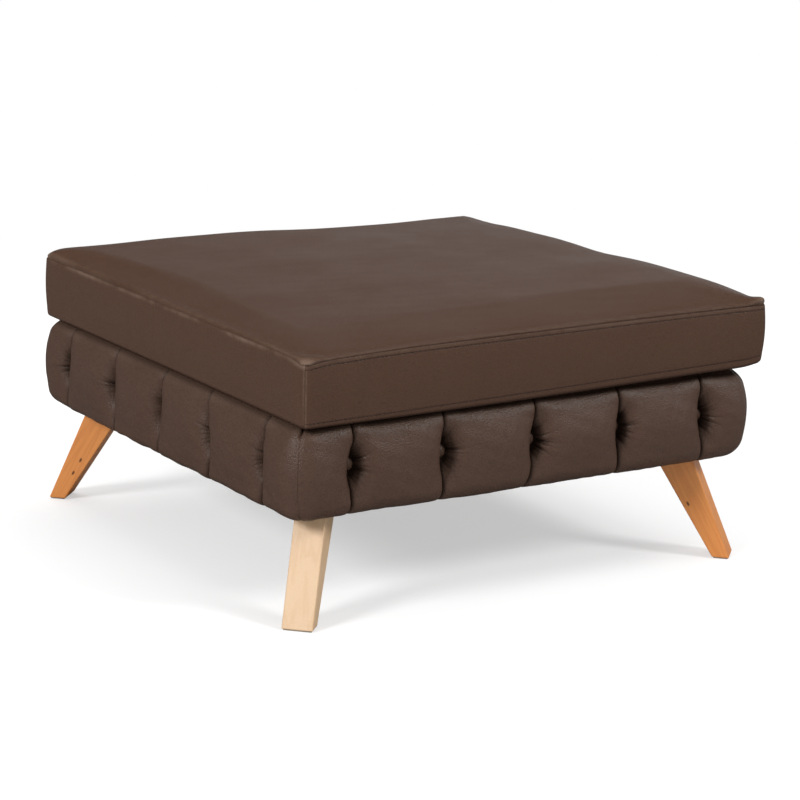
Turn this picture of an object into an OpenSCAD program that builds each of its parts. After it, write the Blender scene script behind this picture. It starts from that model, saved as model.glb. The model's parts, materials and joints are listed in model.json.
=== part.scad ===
// Square upholstered ottoman: a buttoned, padded base on four splayed beech legs,
// with a loose box cushion that lifts off. Millimetres, +Z up, and the origin is on
// the floor under the middle of the base. The front faces -Y.

/* [Frame] */
// Outer width of the square timber frame
frame_w = 690; // [600:5:900]
// Thickness of the rail boards
rail_t = 20; // [16:1:26]
// Height of the rail boards
rail_h = 105; // [95:1:140]
// Height of the middle rail that carries the dust cover
middle_rail_h = 40; // [25:1:60]
// Length of each corner block along its two rails
block_leg = 120; // [105:1:150]
// Height of the corner blocks
block_h = 36; // [30:1:40]

/* [Padding] */
// Thickness of the foam strips glued round the frame
foam_t = 24; // [15:1:40]
// Thickness of the fibre fill and leather at its fullest
fill_t = 25; // [24:1:40]
// How far the padding hangs below the rails
bottom_roll = 12; // [8:1:20]
// Radius of the padding's top edge
top_edge_r = 22; // [12:1:28]
// Radius of the padding's bottom edge
bottom_edge_r = 34; // [22:1:38]
// Radius of the padding's corners, seen from above
corner_r = 34; // [28:1:45]
// Width of the leather that is turned in under the rails and over the deck
turn_in = 15; // [12:1:25]
// Thickness of the turned-in leather
leather_t = 1.4; // [1:0.1:2]

/* [Buttons] */
// Number of buttons on each side
tufts = 5; // [3:1:5]
// Distance from the frame's corner to the first button
tuft_inset = 41; // [36:1:70]
// How far the buttons sit above the middle of the padding
button_rise = 3; // [-5:1:12]
// Depth of the pleats above and below each button
pleat_depth = 14; // [6:1:16]
// How far the leather is drawn in at a button
button_sink = 22; // [18:0.5:22.5]
// Diameter of the covered buttons
button_d = 20; // [16:1:28]
// Height of the buttons' domes
button_h = 8; // [5:0.5:10]
// Diameter of the tufting twine
twine_d = 1.8; // [1.2:0.1:2.4]

/* [Deck] */
// Number of webbing straps each way
straps = 6; // [4:1:7]
// Width of a webbing strap
strap_w = 50; // [40:1:60]
// Thickness of a webbing strap
strap_t = 1.5; // [1:0.1:2]
// Thickness of the foam sheet over the webbing
deck_foam_t = 12; // [8:1:20]
// Thickness of the padded rim round the deck
rim_t = 2; // [1.8:0.1:3]
// Thickness of the platform cloth
cloth_t = 1; // [0.6:0.1:1.4]
// Thickness of the dust cover
dust_t = 0.8; // [0.5:0.1:1.2]

/* [Legs] */
// Height of the padding's underside above the floor
base_z = 158; // [120:1:200]
// Thickness of a leg, across the diagonal
leg_t = 45; // [36:1:50]
// Length of a leg's top along the diagonal
leg_top = 61; // [56:1:64]
// Length of a foot along the diagonal
foot_len = 26; // [20:1:34]
// How far a foot stands out beyond the top of its leg
leg_splay = 71; // [50:1:90]
// How far a leg's top overlaps the rails, along the diagonal
leg_overlap = 10; // [4:1:12]
// Thickness of the felt foot pads
foot_pad_t = 2; // [1:0.5:4]
// Diameter of the coach screws that hold the legs
leg_screw_d = 6; // [5:0.5:7]

/* [Cushion] */
// How far the cushion's top seam stands out past the base on every side
cushion_overhang = 6; // [0:1:15]
// Height of the cushion's border, up to its top seam
border_h = 94; // [70:1:120]
// Rise of the top panel above its seam
crown = 14; // [6:1:25]
// Thickness of the fill between the foam and the border
border_fill = 10; // [8:0.5:14]
// Radius of the cushion's corners, seen from above
cushion_corner_r = 12; // [10:1:14]
// How far the border is drawn in halfway along each side
draw_in = 2; // [0:0.5:4]
// How far the loose cushion has shifted to the right of the base's middle
cushion_right = 7; // [0:1:7]
// How far the loose cushion has shifted to the front of the base's middle
cushion_forward = 6; // [0:1:7]

/* [Zip] */
// Distance from the cushion's corner to the zip's opening
zip_inset = 80; // [60:5:150]
// Height of the opening that shows the zip
zip_gap = 13; // [11.5:0.5:16]
// Length of the zip's slider
slider_len = 12; // [10:0.5:15]
// Length of the slider's pull tab
pull_len = 28; // [20:1:35]

/* [Hidden] */

$fn = 32;
eps = 0.01; // by which a cut runs past the face it opens

// Colours
leather = "#59463b";
timber = "#c9a877";
beech = "#dba468";
foam = "#efe3b4";
fibre = "#f4f2ea";
jute = "#a58a5e";
deck_cloth = "#3a302b";
black_cloth = "#232222";
felt = "#8a7f74";
steel = "#b9bcc0";
brass = "#a8905a";
cord_brown = "#4a3a30";

// Clearances
fit = 0.3;          // between the cushion and the base, and round the slider
screw_slack = 0.05; // between a screw and its hole
leg_slack = 1.5;    // between a leg and the leather cut round it

// Heights of the base, from the floor up
rail_z = base_z + bottom_roll;
rail_top = rail_z + rail_h;
deck_z = rail_top + 2 * strap_t;
deck_top = deck_z + deck_foam_t;
base_top = deck_top + rim_t;
flange_z = rail_z - leather_t;

// Half widths of the base, from the frame out
frame_half = frame_w / 2;
inner_half = frame_half - rail_t;
foam_half = frame_half + foam_t;
base_half = foam_half + fill_t;
flange_half = frame_half - turn_in;
deck_foam_half = frame_half - fit;

// Padding: its section is measured inwards from its fullest outline
inner_corner_r = 8;      // smallest radius of the cover's corners
foam_corner_relief = 1;  // how much rounder the foam is than the leather round it
roll_lip = 7;            // how far the underside's roll stands out past the rails
roll_lip_edge = 3;       // rounding of the roll's inner edge
flange_t = base_half - flange_half;
roll_t = base_half - frame_half - roll_lip;
pad_mid_half = (base_top - base_z) / 2;

// Buttons
button_z = base_z + pad_mid_half + button_rise;
first_tuft = -(frame_half - tuft_inset);
tuft_pitch = -2 * first_tuft / (tufts - 1);
seat_half = base_half - button_sink;
button_r = button_d / 2;
button_edge_h = 2.5;
seat_margin = 1;     // of flat leather round a button's back
funnel_margin = 15;  // from there to the funnel's lip
pleat_spread = 16;   // how fast a pleat fades along the panel, at button height
seat_r = button_r + seat_margin;
funnel_r = seat_r + funnel_margin;

// Tufting twine
twine_r = twine_d / 2;
twine_hole_r = twine_r + fit;
rail_hole_r = 3;
twine_washer_r = 8;
twine_washer_t = 1.5;
knot_r = 2.4;
knot_h = 3;

// Frame and block screws
screw_r = 2.2;
screw_head_r = 4.2;
screw_head_t = 2.4;
head_slack = 0.4;
frame_screw_len = 60;
frame_screw_edge = 25; // from a rail's top or bottom edge to a screw
block_screw_at = 85;   // from the frame's inner corner to a block screw
block_screw_seat = 30; // from the rail to the screw's head
block_screw_bite = 14; // how far a block screw runs into the rail
block_tip = 12;        // width of a corner block's blunt tips

// Legs: radii are measured from the middle along the diagonals
leg_out_top = inner_half * sqrt(2) + leg_overlap;
leg_in_top = leg_out_top - leg_top;
foot_out = leg_out_top + leg_splay;
foot_in = foot_out - foot_len;
leg_screw_gap = 23;    // between a leg's two screws
leg_screw_bite = 26;   // how deep they run into the leg
leg_screw_r = leg_screw_d / 2;
leg_screw_head_lip = 2.8;
leg_screw_head_r = leg_screw_r + leg_screw_head_lip;
leg_screw_head_t = 4;
leg_washer_lip = 6;
leg_washer_r = leg_screw_r + leg_washer_lip;
leg_washer_t = 1.6;
washer_margin = 1;     // between a washer and the rails
leg_screw_at = (inner_half - leg_washer_r - washer_margin) * sqrt(2) - leg_screw_gap / 2;
pad_margin = 2;

// Webbing and staples
strap_margin = 35;     // from a rail to the nearest strap beside it
strap_setback = 4;     // from the frame's outer face to a strap's end
strap_step = 10;       // length over which a strap steps down to the rail
strap_half = frame_half - strap_setback;
strap_pitch = (2 * inner_half - 2 * strap_margin - strap_w) / (straps - 1);
crossing_margin = 2;
crossing_half = inner_half - strap_margin + crossing_margin;
staple_w = 10;
staple_wire = 0.9;
staple_t = 0.5;
strap_staples = 3;
dust_setback = 6;          // from the frame's outer face to the dust cover's edge
dust_half = frame_half - dust_setback;
dust_staple_edge = 6;      // from the dust cover's edge
dust_staples = 9;          // on each side
dust_staple_corner = 95;   // from the frame's corner to the first staple

// Cushion
cushion_z = base_top + fit;
seam_z = cushion_z + border_h;
cushion_half = base_half + cushion_overhang;
cushion_inner_r = 2;       // corner radius inside the border
panel_t = 1.5;
wrap_edge = 4.5;           // thickness of the fibre wrap at the seam
crown_power = 6;           // the higher, the flatter the middle of the panel
border_taper = 2;          // how much the border is tucked in at its foot
border_bottom_r = border_fill - border_taper;
cushion_foam_half = cushion_half - border_fill;
border_top = seam_z - panel_t;
cushion_foam_top = border_top - wrap_edge;

// Zip: y is measured from the cushion's middle to the back
zip_len = 2 * (cushion_half - zip_inset);
zip_z = cushion_z + border_h / 2;
tape_margin = 10;
tape_lap = 7;              // by which the tape runs behind the border's edges
tape_slack = 0.2;
tape_t = 1;
chain_w = 4.4;
chain_t = 1.6;
tape_gap = 1;              // from the foam to the tape
tape_y = cushion_foam_half + tape_gap;
chain_y = tape_y + tape_t;
slider_h = 9;
slider_wall = 1.1;
slider_y = chain_y + fit;
slider_roof_y = chain_y + chain_t + fit;
slider_top_y = slider_roof_y + slider_wall;
bail_w = 2;
bail_span = 7.6;
bail_rise = 2.8;
bail_bar = 0.8;
pull_bar_r = 0.6;
pull_bar_gap = 0.4;
pull_t = 1.2;
pull_w = 7;
pull_arm = 1.5;
pull_eye_r = 1.6;
pull_y = slider_top_y + pull_bar_gap + pull_bar_r;
pull_clear = bail_span / 2 + bail_bar; // from the pull's bar to its tab, past the bail
slider_end_gap = 3;        // from the swung pull to the end of the opening
slider_rest_x = -(zip_len / 2 - pull_len - slider_end_gap);

// Angle of a corner's diagonal, from the front left one anticlockwise
function corner_angle(i) = 225 + 90 * i;

// The point p turned by k quarter turns about the middle
function quarter_turns(p, k) = [
  p.x * cos(90 * k) - p.y * sin(90 * k),
  p.x * sin(90 * k) + p.y * cos(90 * k),
  p.z
];

// Turns what is built at the front to side i: front, right, back, left
module at_side(i) {
  rotate([0, 0, 90 * i]) children();
}

// Lays +X along the diagonal of corner i
module at_corner(i) {
  rotate([0, 0, corner_angle(i)]) children();
}

// Moves what is built round the cushion's middle to where the cushion lies
module at_cushion() {
  translate([cushion_right, -cushion_forward, 0]) children();
}

// A square with round corners, from true arcs
module rounded_square(half, r) {
  square([2 * half, 2 * (half - r)], center = true);
  square([2 * (half - r), 2 * half], center = true);
  for (x = [-1, 1], y = [-1, 1])
    translate([x * (half - r), y * (half - r)]) circle(r);
}

// Triangles of a surface swept through rows of points. Each row is one closed section,
// listed up the outside, and cap holds the triangles that close a section.
module swept(rows, cap) {
  n = len(rows[0]);
  last = (len(rows) - 1) * n;
  skin = [
    for (i = [0 : len(rows) - 2], j = [0 : n - 1])
      let (a = i * n + j, b = i * n + (j + 1) % n)
        each [[a, b, b + n], [a, b + n, a + n]]
  ];
  start_cap = [for (t = cap) [t[0], t[2], t[1]]];
  end_cap = [for (t = cap) [t[0] + last, t[1] + last, t[2] + last]];
  polyhedron(points = [for (row = rows) each row], faces = concat(skin, start_cap, end_cap));
}

// Triangles of a body made of level rings, each listed anticlockwise seen from above,
// from the ring round the top pole to the ring round the bottom pole. From the ring
// called underside on, squares are split along their other diagonal, so that the
// underside of a skin lies triangle on triangle on what it covers.
module ringed(rings, top_pole, bottom_pole, underside) {
  n = len(rings[0]);
  top = len(rings) * n;
  last = top - n;
  skin = [
    for (i = [0 : len(rings) - 2], j = [0 : n - 1])
      let (a = i * n + j, b = i * n + (j + 1) % n)
        each i < underside ? [[a, b, b + n], [a, b + n, a + n]] : [[a, b, a + n], [b, b + n, a + n]]
  ];
  top_fan = [for (j = [0 : n - 1]) [top, (j + 1) % n, j]];
  bottom_fan = [for (j = [0 : n - 1]) [top + 1, last + j, last + (j + 1) % n]];
  polyhedron(
    points = concat([for (ring = rings) each ring], [top_pole, bottom_pole]),
    faces = concat(skin, top_fan, bottom_fan)
  );
}

// Screws and their holes

// A screw along +Z from its head's outer face, or its hole when slack is above 0
module screw(r, length, head_r, head_t, slack = 0) {
  cylinder(r = r + slack, h = length);
  translate([0, 0, slack > 0 ? -eps : 0])
    cylinder(r = head_r + (slack > 0 ? head_slack : 0), h = head_t + (slack > 0 ? eps : 0));
}

// Puts a screw at each joint of the front rail, pointing into the frame
module at_front_screws() {
  for (x = [-1, 1], z = [rail_z + frame_screw_edge, rail_top - frame_screw_edge])
    translate([x * (inner_half + rail_t / 2), -frame_half, z]) rotate([-90, 0, 0]) children();
  translate([0, -frame_half, flange_z + middle_rail_h / 2]) rotate([-90, 0, 0]) children();
}

module frame_screw_set(slack = 0) {
  for (i = [0, 2])
    at_side(i) at_front_screws()
      screw(screw_r, frame_screw_len, screw_head_r, screw_head_t, slack);
}

// The two screws of the front left corner block, one into each rail
module block_screw_pair(slack = 0) {
  length = block_screw_seat + screw_head_t + block_screw_bite;
  z = rail_z + block_h / 2;
  start = -inner_half + block_screw_seat + screw_head_t;
  translate([-inner_half + block_screw_at, start, z]) rotate([90, 0, 0])
    screw(screw_r, length, screw_head_r, screw_head_t, slack);
  translate([start, -inner_half + block_screw_at, z]) rotate([0, -90, 0])
    screw(screw_r, length, screw_head_r, screw_head_t, slack);
}

// Puts its child at both screws of the leg at corner i, at height z
module at_leg_screws(i, z) {
  at_corner(i)
    for (y = [-1, 1])
      translate([leg_screw_at, y * leg_screw_gap / 2, z]) children();
}

// Buttons and twine, built for the front

module at_tufts() {
  for (i = [0 : tufts - 1])
    translate([first_tuft + i * tuft_pitch, 0, button_z]) children();
}

// A round bar square to the front, from y = -from out to y = -to
module bar(r, from, to) {
  translate([0, -from, 0]) rotate([90, 0, 0]) cylinder(r = r, h = to - from);
}

module twine_holes(r, from, to) {
  at_tufts() bar(r, from - eps, to + eps);
}

// Frame

module rail_board(i, half_length) {
  color(timber)
    difference() {
      at_side(i)
        translate([-half_length, -frame_half, rail_z]) cube([2 * half_length, rail_t, rail_h]);
      at_side(i) twine_holes(rail_hole_r, inner_half, frame_half);
      frame_screw_set(screw_slack);
      for (k = [i, i + 1]) at_side(k) block_screw_pair(screw_slack);
    }
}

module front_rail() {
  rail_board(0, frame_half);
}

module right_rail() {
  rail_board(1, inner_half);
}

module back_rail() {
  rail_board(2, frame_half);
}

module left_rail() {
  rail_board(3, inner_half);
}

module middle_rail() {
  color(timber)
    difference() {
      translate([-rail_t / 2, -inner_half, flange_z])
        cube([rail_t, 2 * inner_half, middle_rail_h]);
      frame_screw_set(screw_slack);
    }
}

// A blunt triangle in the frame's inner corner, drilled for its screws and the leg's
module corner_block(i) {
  color(timber)
    difference() {
      at_side(i) translate([-inner_half, -inner_half, rail_z])
        linear_extrude(block_h)
          polygon([
            [0, 0], [block_leg, 0], [block_leg, block_tip], [block_tip, block_leg], [0, block_leg]
          ]);
      at_side(i) block_screw_clearance();
      at_leg_screws(i, rail_z - eps) cylinder(r = leg_screw_r + screw_slack, h = block_h + 2 * eps);
    }
}

// The holes of a block's own two screws, with room for their heads to be driven in
module block_screw_clearance() {
  block_screw_pair(screw_slack);
  z = rail_z + block_h / 2;
  start = -inner_half + block_screw_seat;
  translate([-inner_half + block_screw_at, start, z]) rotate([-90, 0, 0])
    cylinder(r = screw_head_r + head_slack, h = block_leg);
  translate([start, -inner_half + block_screw_at, z]) rotate([0, 90, 0])
    cylinder(r = screw_head_r + head_slack, h = block_leg);
}

module frame_screws() {
  color(steel) frame_screw_set();
}

module block_screws() {
  color(steel)
    for (i = [0 : 3]) at_side(i) block_screw_pair();
}

// Padding

module rail_foam(i) {
  cover_corner_r = max(corner_r - fill_t, inner_corner_r);
  color(foam)
    at_side(i)
      difference() {
        translate([0, 0, rail_z])
          linear_extrude(deck_top - rail_z)
            intersection() {
              difference() {
                rounded_square(foam_half, cover_corner_r + foam_corner_relief);
                square(2 * frame_half, center = true);
              }
              polygon([[0, 0], [-base_half, -base_half], [base_half, -base_half]]);
            }
        twine_holes(twine_hole_r, frame_half, foam_half);
      }
}

// Depth of the pleat at a height, deepest at the buttons
function pleat(z) = pleat_depth * (1 - 0.55 * pow((z - button_z) / pad_mid_half, 2));

// How fast the pleat fades sideways at a height
function spread(z) = pleat_spread * (1 - 0.45 * abs(z - button_z) / pad_mid_half);

// How far the leather is drawn in at the distance d from the nearest line of buttons
function recess(d, z) =
  d <= seat_r + eps && abs(z - button_z) <= seat_r + eps
    ? button_sink
    : pleat(z) * exp(-d / spread(z));

// A pleat runs out towards the top edge, and leaves a shallow notch in the bottom edge
function pleat_share(angle) = angle < 0 ? 0.2 + 0.8 * cos(angle) : cos(angle);

// The padding's outside from its underside up: [inwards, z, angle of the outward normal]
pad_outside = concat(
  [
    [roll_t - roll_lip_edge, base_z + roll_lip_edge, -90],
    [bottom_edge_r, base_z, -90]
  ],
  [
    for (a = [-60, -30, 0])
      [bottom_edge_r * (1 - cos(a)), base_z + bottom_edge_r * (1 + sin(a)), a]
  ],
  [for (h = [-funnel_r, -seat_r, 0, seat_r, funnel_r]) [0, button_z + h, 0]],
  [
    for (a = [0, 30, 60, 90])
      [top_edge_r * (1 - cos(a)), base_top - top_edge_r * (1 - sin(a)), a]
  ]
);

// The whole section at the distance d from a line of buttons: [inwards, z]
function pad_section(d) = concat(
  [[flange_t, flange_z], [roll_t, flange_z]],
  [
    for (p = pad_outside)
      let (in = recess(d, p[1]) * pleat_share(p[2]))
        [p[0] + in * cos(p[2]), p[1] - in * sin(p[2])]
  ],
  [
    [flange_t, base_top], [flange_t, deck_top], [fill_t, deck_top],
    [fill_t, rail_z], [flange_t, rail_z]
  ]
);

// Stations along the front: [share of the straight part, angle round the corner]
tuft_x = [for (i = [0 : tufts - 1]) first_tuft + i * tuft_pitch];
cover_x = [
  for (i = [0 : tufts - 1])
    each concat(
      [for (d = [-funnel_r, -seat_r, 0, seat_r, funnel_r]) tuft_x[i] + d],
      i < tufts - 1 ? [tuft_x[i] + tuft_pitch / 2] : []
    )
];
straight_half = base_half - corner_r;
cover_stations = concat(
  [[-1, -45], [-1, -22.5], [-1, 0]],
  [for (x = cover_x) [x / straight_half, 0]],
  [[1, 0], [1, 22.5], [1, 45]]
);

// A point of the cover at a station, by its distance inwards and its height
function cover_point(station, inwards, z) =
  let (
    r = max(corner_r - inwards, inner_corner_r),
    c = base_half - inwards - r
  )
  [station[0] * c + r * sin(station[1]), -c - r * cos(station[1]), z];

function tuft_distance(x) = min([for (t = tuft_x) abs(x - t)]);

cover_rows = [
  for (s = cover_stations)
    [for (p = pad_section(tuft_distance(s[0] * straight_half))) cover_point(s, p[0], p[1])]
];

// Closes a section: fans from the two inner corners out to the padding's outside
cover_cap = let (
    n = len(cover_rows[0]),
    top = n - 5,
    mid = 9,
    over_deck = n - 4,
    inner_top = n - 3,
    inner_bottom = n - 2,
    under_rail = n - 1
  )
  concat(
    [[under_rail, 0, 1], [under_rail, 1, inner_bottom]],
    [for (j = [1 : mid - 1]) [inner_bottom, j, j + 1]],
    [[inner_bottom, mid, inner_top]],
    [for (j = [mid : top - 2]) [inner_top, j, j + 1]],
    [[inner_top, top - 1, over_deck], [over_deck, top - 1, top]]
  );

// The space that a leg takes up to the rails, with some slack
module leg_space(i, slack) {
  at_corner(i)
    translate([0, leg_t / 2 + slack, 0])
      rotate([90, 0, 0])
        linear_extrude(leg_t + 2 * slack)
          polygon([
            [foot_in - slack, 0], [foot_out + slack, 0],
            [leg_out_top + slack, rail_z + eps], [leg_in_top - slack, rail_z + eps]
          ]);
}

module cover(i) {
  color(leather)
    at_side(i)
      difference() {
        swept(cover_rows, cover_cap);
        twine_holes(twine_hole_r, foam_half, base_half);
        for (k = [0, 1]) leg_space(k, leg_slack);
      }
}

// A covered button: a flat back, a short straight edge and a dome
module button() {
  cap_h = button_h - button_edge_h;
  dome_r = (button_r * button_r + cap_h * cap_h) / (2 * cap_h);
  steps = 8;
  edge_angle = asin(button_r / dome_r);
  rotate_extrude()
    polygon(concat(
      [[0, 0], [button_r, 0]],
      [
        for (k = [0 : steps])
          let (a = edge_angle * (1 - k / steps))
            [dome_r * sin(a), button_h - dome_r * (1 - cos(a))]
      ]
    ));
}

module buttons(i) {
  color(leather)
    at_side(i) at_tufts() translate([0, -seat_half, 0]) rotate([90, 0, 0]) button();
}

module tufting_twine() {
  knot_at = inner_half - twine_washer_t;
  color(cord_brown)
    for (i = [0 : 3])
      at_side(i) at_tufts() {
        bar(twine_r, knot_at - knot_h, seat_half);
        bar(knot_r, knot_at - knot_h, knot_at);
      }
}

module twine_washers() {
  color(steel)
    for (i = [0 : 3])
      at_side(i) at_tufts() difference() {
        bar(twine_washer_r, inner_half - twine_washer_t, inner_half);
        bar(twine_hole_r, inner_half - twine_washer_t - eps, inner_half + eps);
      }
}

// Deck and underside

module webbing_across() {
  color(jute)
    for (k = [0 : straps - 1])
      translate([-strap_half, (k - (straps - 1) / 2) * strap_pitch - strap_w / 2, rail_top])
        cube([2 * strap_half, strap_w, strap_t]);
}

// These straps lie on the others, and step down to the rails at both ends
module webbing_front_to_back() {
  down = crossing_half + strap_step;
  top_side = [
    [-strap_half, 0], [-down, 0], [-crossing_half, strap_t],
    [crossing_half, strap_t], [down, 0], [strap_half, 0]
  ];
  color(jute)
    for (k = [0 : straps - 1])
      translate([(k - (straps - 1) / 2) * strap_pitch - strap_w / 2, 0, rail_top])
        rotate([90, 0, 90])
          linear_extrude(strap_w)
            polygon(concat(
              top_side,
              [for (j = [5 : -1 : 0]) [top_side[j].x, top_side[j].y + strap_t]]
            ));
}

// A staple's crown, lying along X
module staple() {
  translate([-staple_w / 2, -staple_wire / 2, 0]) cube([staple_w, staple_wire, staple_t]);
}

module webbing_staples() {
  step = strap_w / strap_staples;
  color(steel)
    for (i = [0 : 3])
      at_side(i)
        for (k = [0 : straps - 1], j = [0 : strap_staples - 1])
          translate([
            (k - (straps - 1) / 2) * strap_pitch + (j - (strap_staples - 1) / 2) * step,
            -(inner_half + rail_t / 2),
            rail_top + strap_t
          ]) staple();
}

module deck_foam() {
  color(foam)
    translate([0, 0, deck_z + deck_foam_t / 2])
      cube([2 * deck_foam_half, 2 * deck_foam_half, deck_foam_t], center = true);
}

module platform_cloth() {
  color(deck_cloth)
    translate([0, 0, deck_top])
      linear_extrude(cloth_t) rounded_square(flange_half - fit, inner_corner_r + foam_corner_relief);
}

// The dust cover is cut out round the legs
module dust_cover() {
  reach = dust_half * sqrt(2);
  color(black_cloth)
    difference() {
      translate([0, 0, flange_z - dust_t / 2]) cube([2 * dust_half, 2 * dust_half, dust_t], center = true);
      for (i = [0 : 3])
        at_corner(i)
          translate([leg_in_top - leg_slack, -leg_t / 2 - leg_slack, flange_z - dust_t - eps])
            cube([reach, leg_t + 2 * leg_slack, dust_t + 2 * eps]);
    }
}

module dust_cover_staples() {
  last = frame_half - dust_staple_corner;
  step = 2 * last / (dust_staples - 1);
  color(steel)
    for (i = [0 : 3])
      at_side(i)
        for (k = [0 : dust_staples - 1])
          translate([k * step - last, -(dust_half - dust_staple_edge), flange_z - dust_t - staple_t])
            staple();
}

// Legs

// A board that lies in the vertical plane of the diagonal and narrows to its foot
module leg(i) {
  color(beech)
    difference() {
      at_corner(i)
        translate([0, leg_t / 2, 0])
          rotate([90, 0, 0])
            linear_extrude(leg_t)
              polygon([
                [foot_in, foot_pad_t], [foot_out, foot_pad_t],
                [leg_out_top, rail_z], [leg_in_top, rail_z]
              ]);
      at_leg_screws(i, rail_z - leg_screw_bite - screw_slack)
        cylinder(r = leg_screw_r + screw_slack, h = leg_screw_bite + screw_slack + eps);
    }
}

// The screws run down through the corner blocks into the legs
module leg_screws() {
  head_z = rail_z + block_h + leg_washer_t;
  color(steel)
    for (i = [0 : 3]) {
      at_leg_screws(i, rail_z - leg_screw_bite)
        cylinder(r = leg_screw_r, h = leg_screw_bite + block_h + leg_washer_t + eps);
      at_leg_screws(i, head_z) cylinder(r = leg_screw_head_r, h = leg_screw_head_t, $fn = 6);
    }
}

module leg_washers() {
  color(steel)
    for (i = [0 : 3])
      at_leg_screws(i, rail_z + block_h) difference() {
        cylinder(r = leg_washer_r, h = leg_washer_t);
        translate([0, 0, -eps]) cylinder(r = leg_screw_r + screw_slack, h = leg_washer_t + 2 * eps);
      }
}

module foot_pad(i) {
  color(felt)
    at_corner(i)
      translate([foot_in + pad_margin, -leg_t / 2 + pad_margin, 0])
        cube([foot_len - 2 * pad_margin, leg_t - 2 * pad_margin, foot_pad_t]);
}

// Cushion

// Stations along one side of the cushion, as for the covers
cushion_stations = concat(
  [[-1, -45], [-1, -22.5]],
  [for (k = [-3 : 3]) [k / 3, 0]],
  [[1, 22.5], [1, 45]]
);

// A point of the cushion's front at a station. The side bows inwards by bow at its middle.
function cushion_point(station, inwards, bow, z) =
  let (
    r = max(cushion_corner_r - inwards, cushion_inner_r),
    c = cushion_half - inwards - r
  )
  [
    station[0] * c + r * sin(station[1]),
    -c - r * cos(station[1]) + bow * (1 - pow(station[0], 2)),
    z
  ];

// One level ring of the cushion, round all four sides
function cushion_ring(inwards, bow) = [
  for (k = [0 : 3], j = [0 : len(cushion_stations) - 2])
    quarter_turns(cushion_point(cushion_stations[j], inwards, bow, 0), k)
];

// Rise of the top panel over a point: nothing over the border, and nearly flat in the middle
function crown_share(u) = 1 - pow(min(abs(u) / cushion_foam_half, 1), crown_power);
function crown_at(p) = crown * crown_share(p.x) * crown_share(p.y);

function crowned_ring(inwards, bow, z) = [
  for (p = cushion_ring(inwards, bow)) [p.x, p.y, z + crown_at(p)]
];

// Distances of the panel's rings from its edge, from the middle out
panel_rings = [200, 110, 60, 30, border_fill];

module cushion_top_panel() {
  color(leather)
    at_cushion()
      ringed(
        concat(
          [for (t = panel_rings) crowned_ring(t, 0, seam_z)],
          [crowned_ring(0, draw_in, seam_z), crowned_ring(0, draw_in, border_top)],
          [for (k = [len(panel_rings) - 1 : -1 : 0]) crowned_ring(panel_rings[k], 0, border_top)]
        ),
        [0, 0, seam_z + crown],
        [0, 0, border_top + crown],
        len(panel_rings) + 1
      );
}

module cushion_fibre_wrap() {
  flat = [for (p = cushion_ring(border_fill, 0)) [p.x, p.y, cushion_foam_top]];
  color(fibre)
    at_cushion()
      ringed(
        concat([for (t = panel_rings) crowned_ring(t, 0, border_top)], [flat]),
        [0, 0, border_top + crown],
        [0, 0, cushion_foam_top],
        len(panel_rings)
      );
}

module cushion_foam() {
  color(foam)
    at_cushion()
      translate([0, 0, cushion_z + panel_t])
        linear_extrude(cushion_foam_top - cushion_z - panel_t)
          rounded_square(cushion_foam_half, cushion_inner_r + foam_corner_relief);
}

module cushion_bottom_panel() {
  color(leather)
    at_cushion()
      translate([0, 0, cushion_z])
        linear_extrude(panel_t)
          rounded_square(cushion_foam_half, cushion_inner_r + foam_corner_relief);
}

// The border's outside from the foot up to the seam: [inwards, height above the foot, bow]
border_outside = concat(
  [
    for (a = [90, 50, 25, 0])
      [border_taper + border_bottom_r * (1 - cos(a)), border_bottom_r * (1 - sin(a)), draw_in * cos(a)]
  ],
  [
    for (share = [0.65, 0.35, 0])
      [border_taper * share, (border_top - cushion_z) * (1 - share), draw_in]
  ]
);

border_rows = [
  for (s = cushion_stations)
    concat(
      [for (p = border_outside) cushion_point(s, p[0], p[2], cushion_z + p[1])],
      [cushion_point(s, border_fill, 0, border_top)]
    )
];

border_cap = let (n = len(border_rows[0])) [for (j = [0 : n - 3]) [n - 1, j, j + 1]];

module border(i) {
  color(leather) at_cushion() at_side(i) swept(border_rows, border_cap);
}

module cushion_back_border() {
  tape_l = zip_len + 2 * (tape_margin + tape_slack);
  tape_h = zip_gap + 2 * (tape_lap + tape_slack);
  color(leather)
    difference() {
      border(2);
      at_cushion() {
        translate([-zip_len / 2, tape_y, zip_z - zip_gap / 2])
          cube([zip_len, border_fill, zip_gap]);
        translate([-tape_l / 2, cushion_foam_half - eps, zip_z - tape_h / 2])
          cube([tape_l, chain_y - cushion_foam_half + eps, tape_h]);
      }
    }
}

// Zip

module zip_tape() {
  length = zip_len + 2 * tape_margin;
  width = zip_gap + 2 * tape_lap;
  color(black_cloth)
    at_cushion()
      translate([-length / 2, tape_y, zip_z - width / 2]) cube([length, tape_t, width]);
}

module zip_chain() {
  color(brass)
    at_cushion()
      translate([-zip_len / 2, chain_y, zip_z - chain_w / 2]) cube([zip_len, chain_t, chain_w]);
}

// A channel over the chain, with a small arch that holds the pull
module zip_slider() {
  channel_w = chain_w + 2 * fit;
  color(brass)
    at_cushion()
      translate([slider_rest_x, 0, zip_z]) {
        difference() {
          translate([-slider_len / 2, slider_y, -slider_h / 2])
            cube([slider_len, slider_top_y - slider_y, slider_h]);
          translate([-slider_len / 2 - eps, slider_y - eps, -channel_w / 2])
            cube([slider_len + 2 * eps, slider_roof_y - slider_y + eps, channel_w]);
        }
        for (x = [-bail_span / 2, bail_span / 2 - bail_bar])
          translate([x, slider_top_y - eps, -bail_w / 2]) cube([bail_bar, bail_rise, bail_w]);
        translate([-bail_span / 2, slider_top_y + bail_rise - bail_bar, -bail_w / 2])
          cube([bail_span, bail_bar, bail_w]);
      }
}

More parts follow.
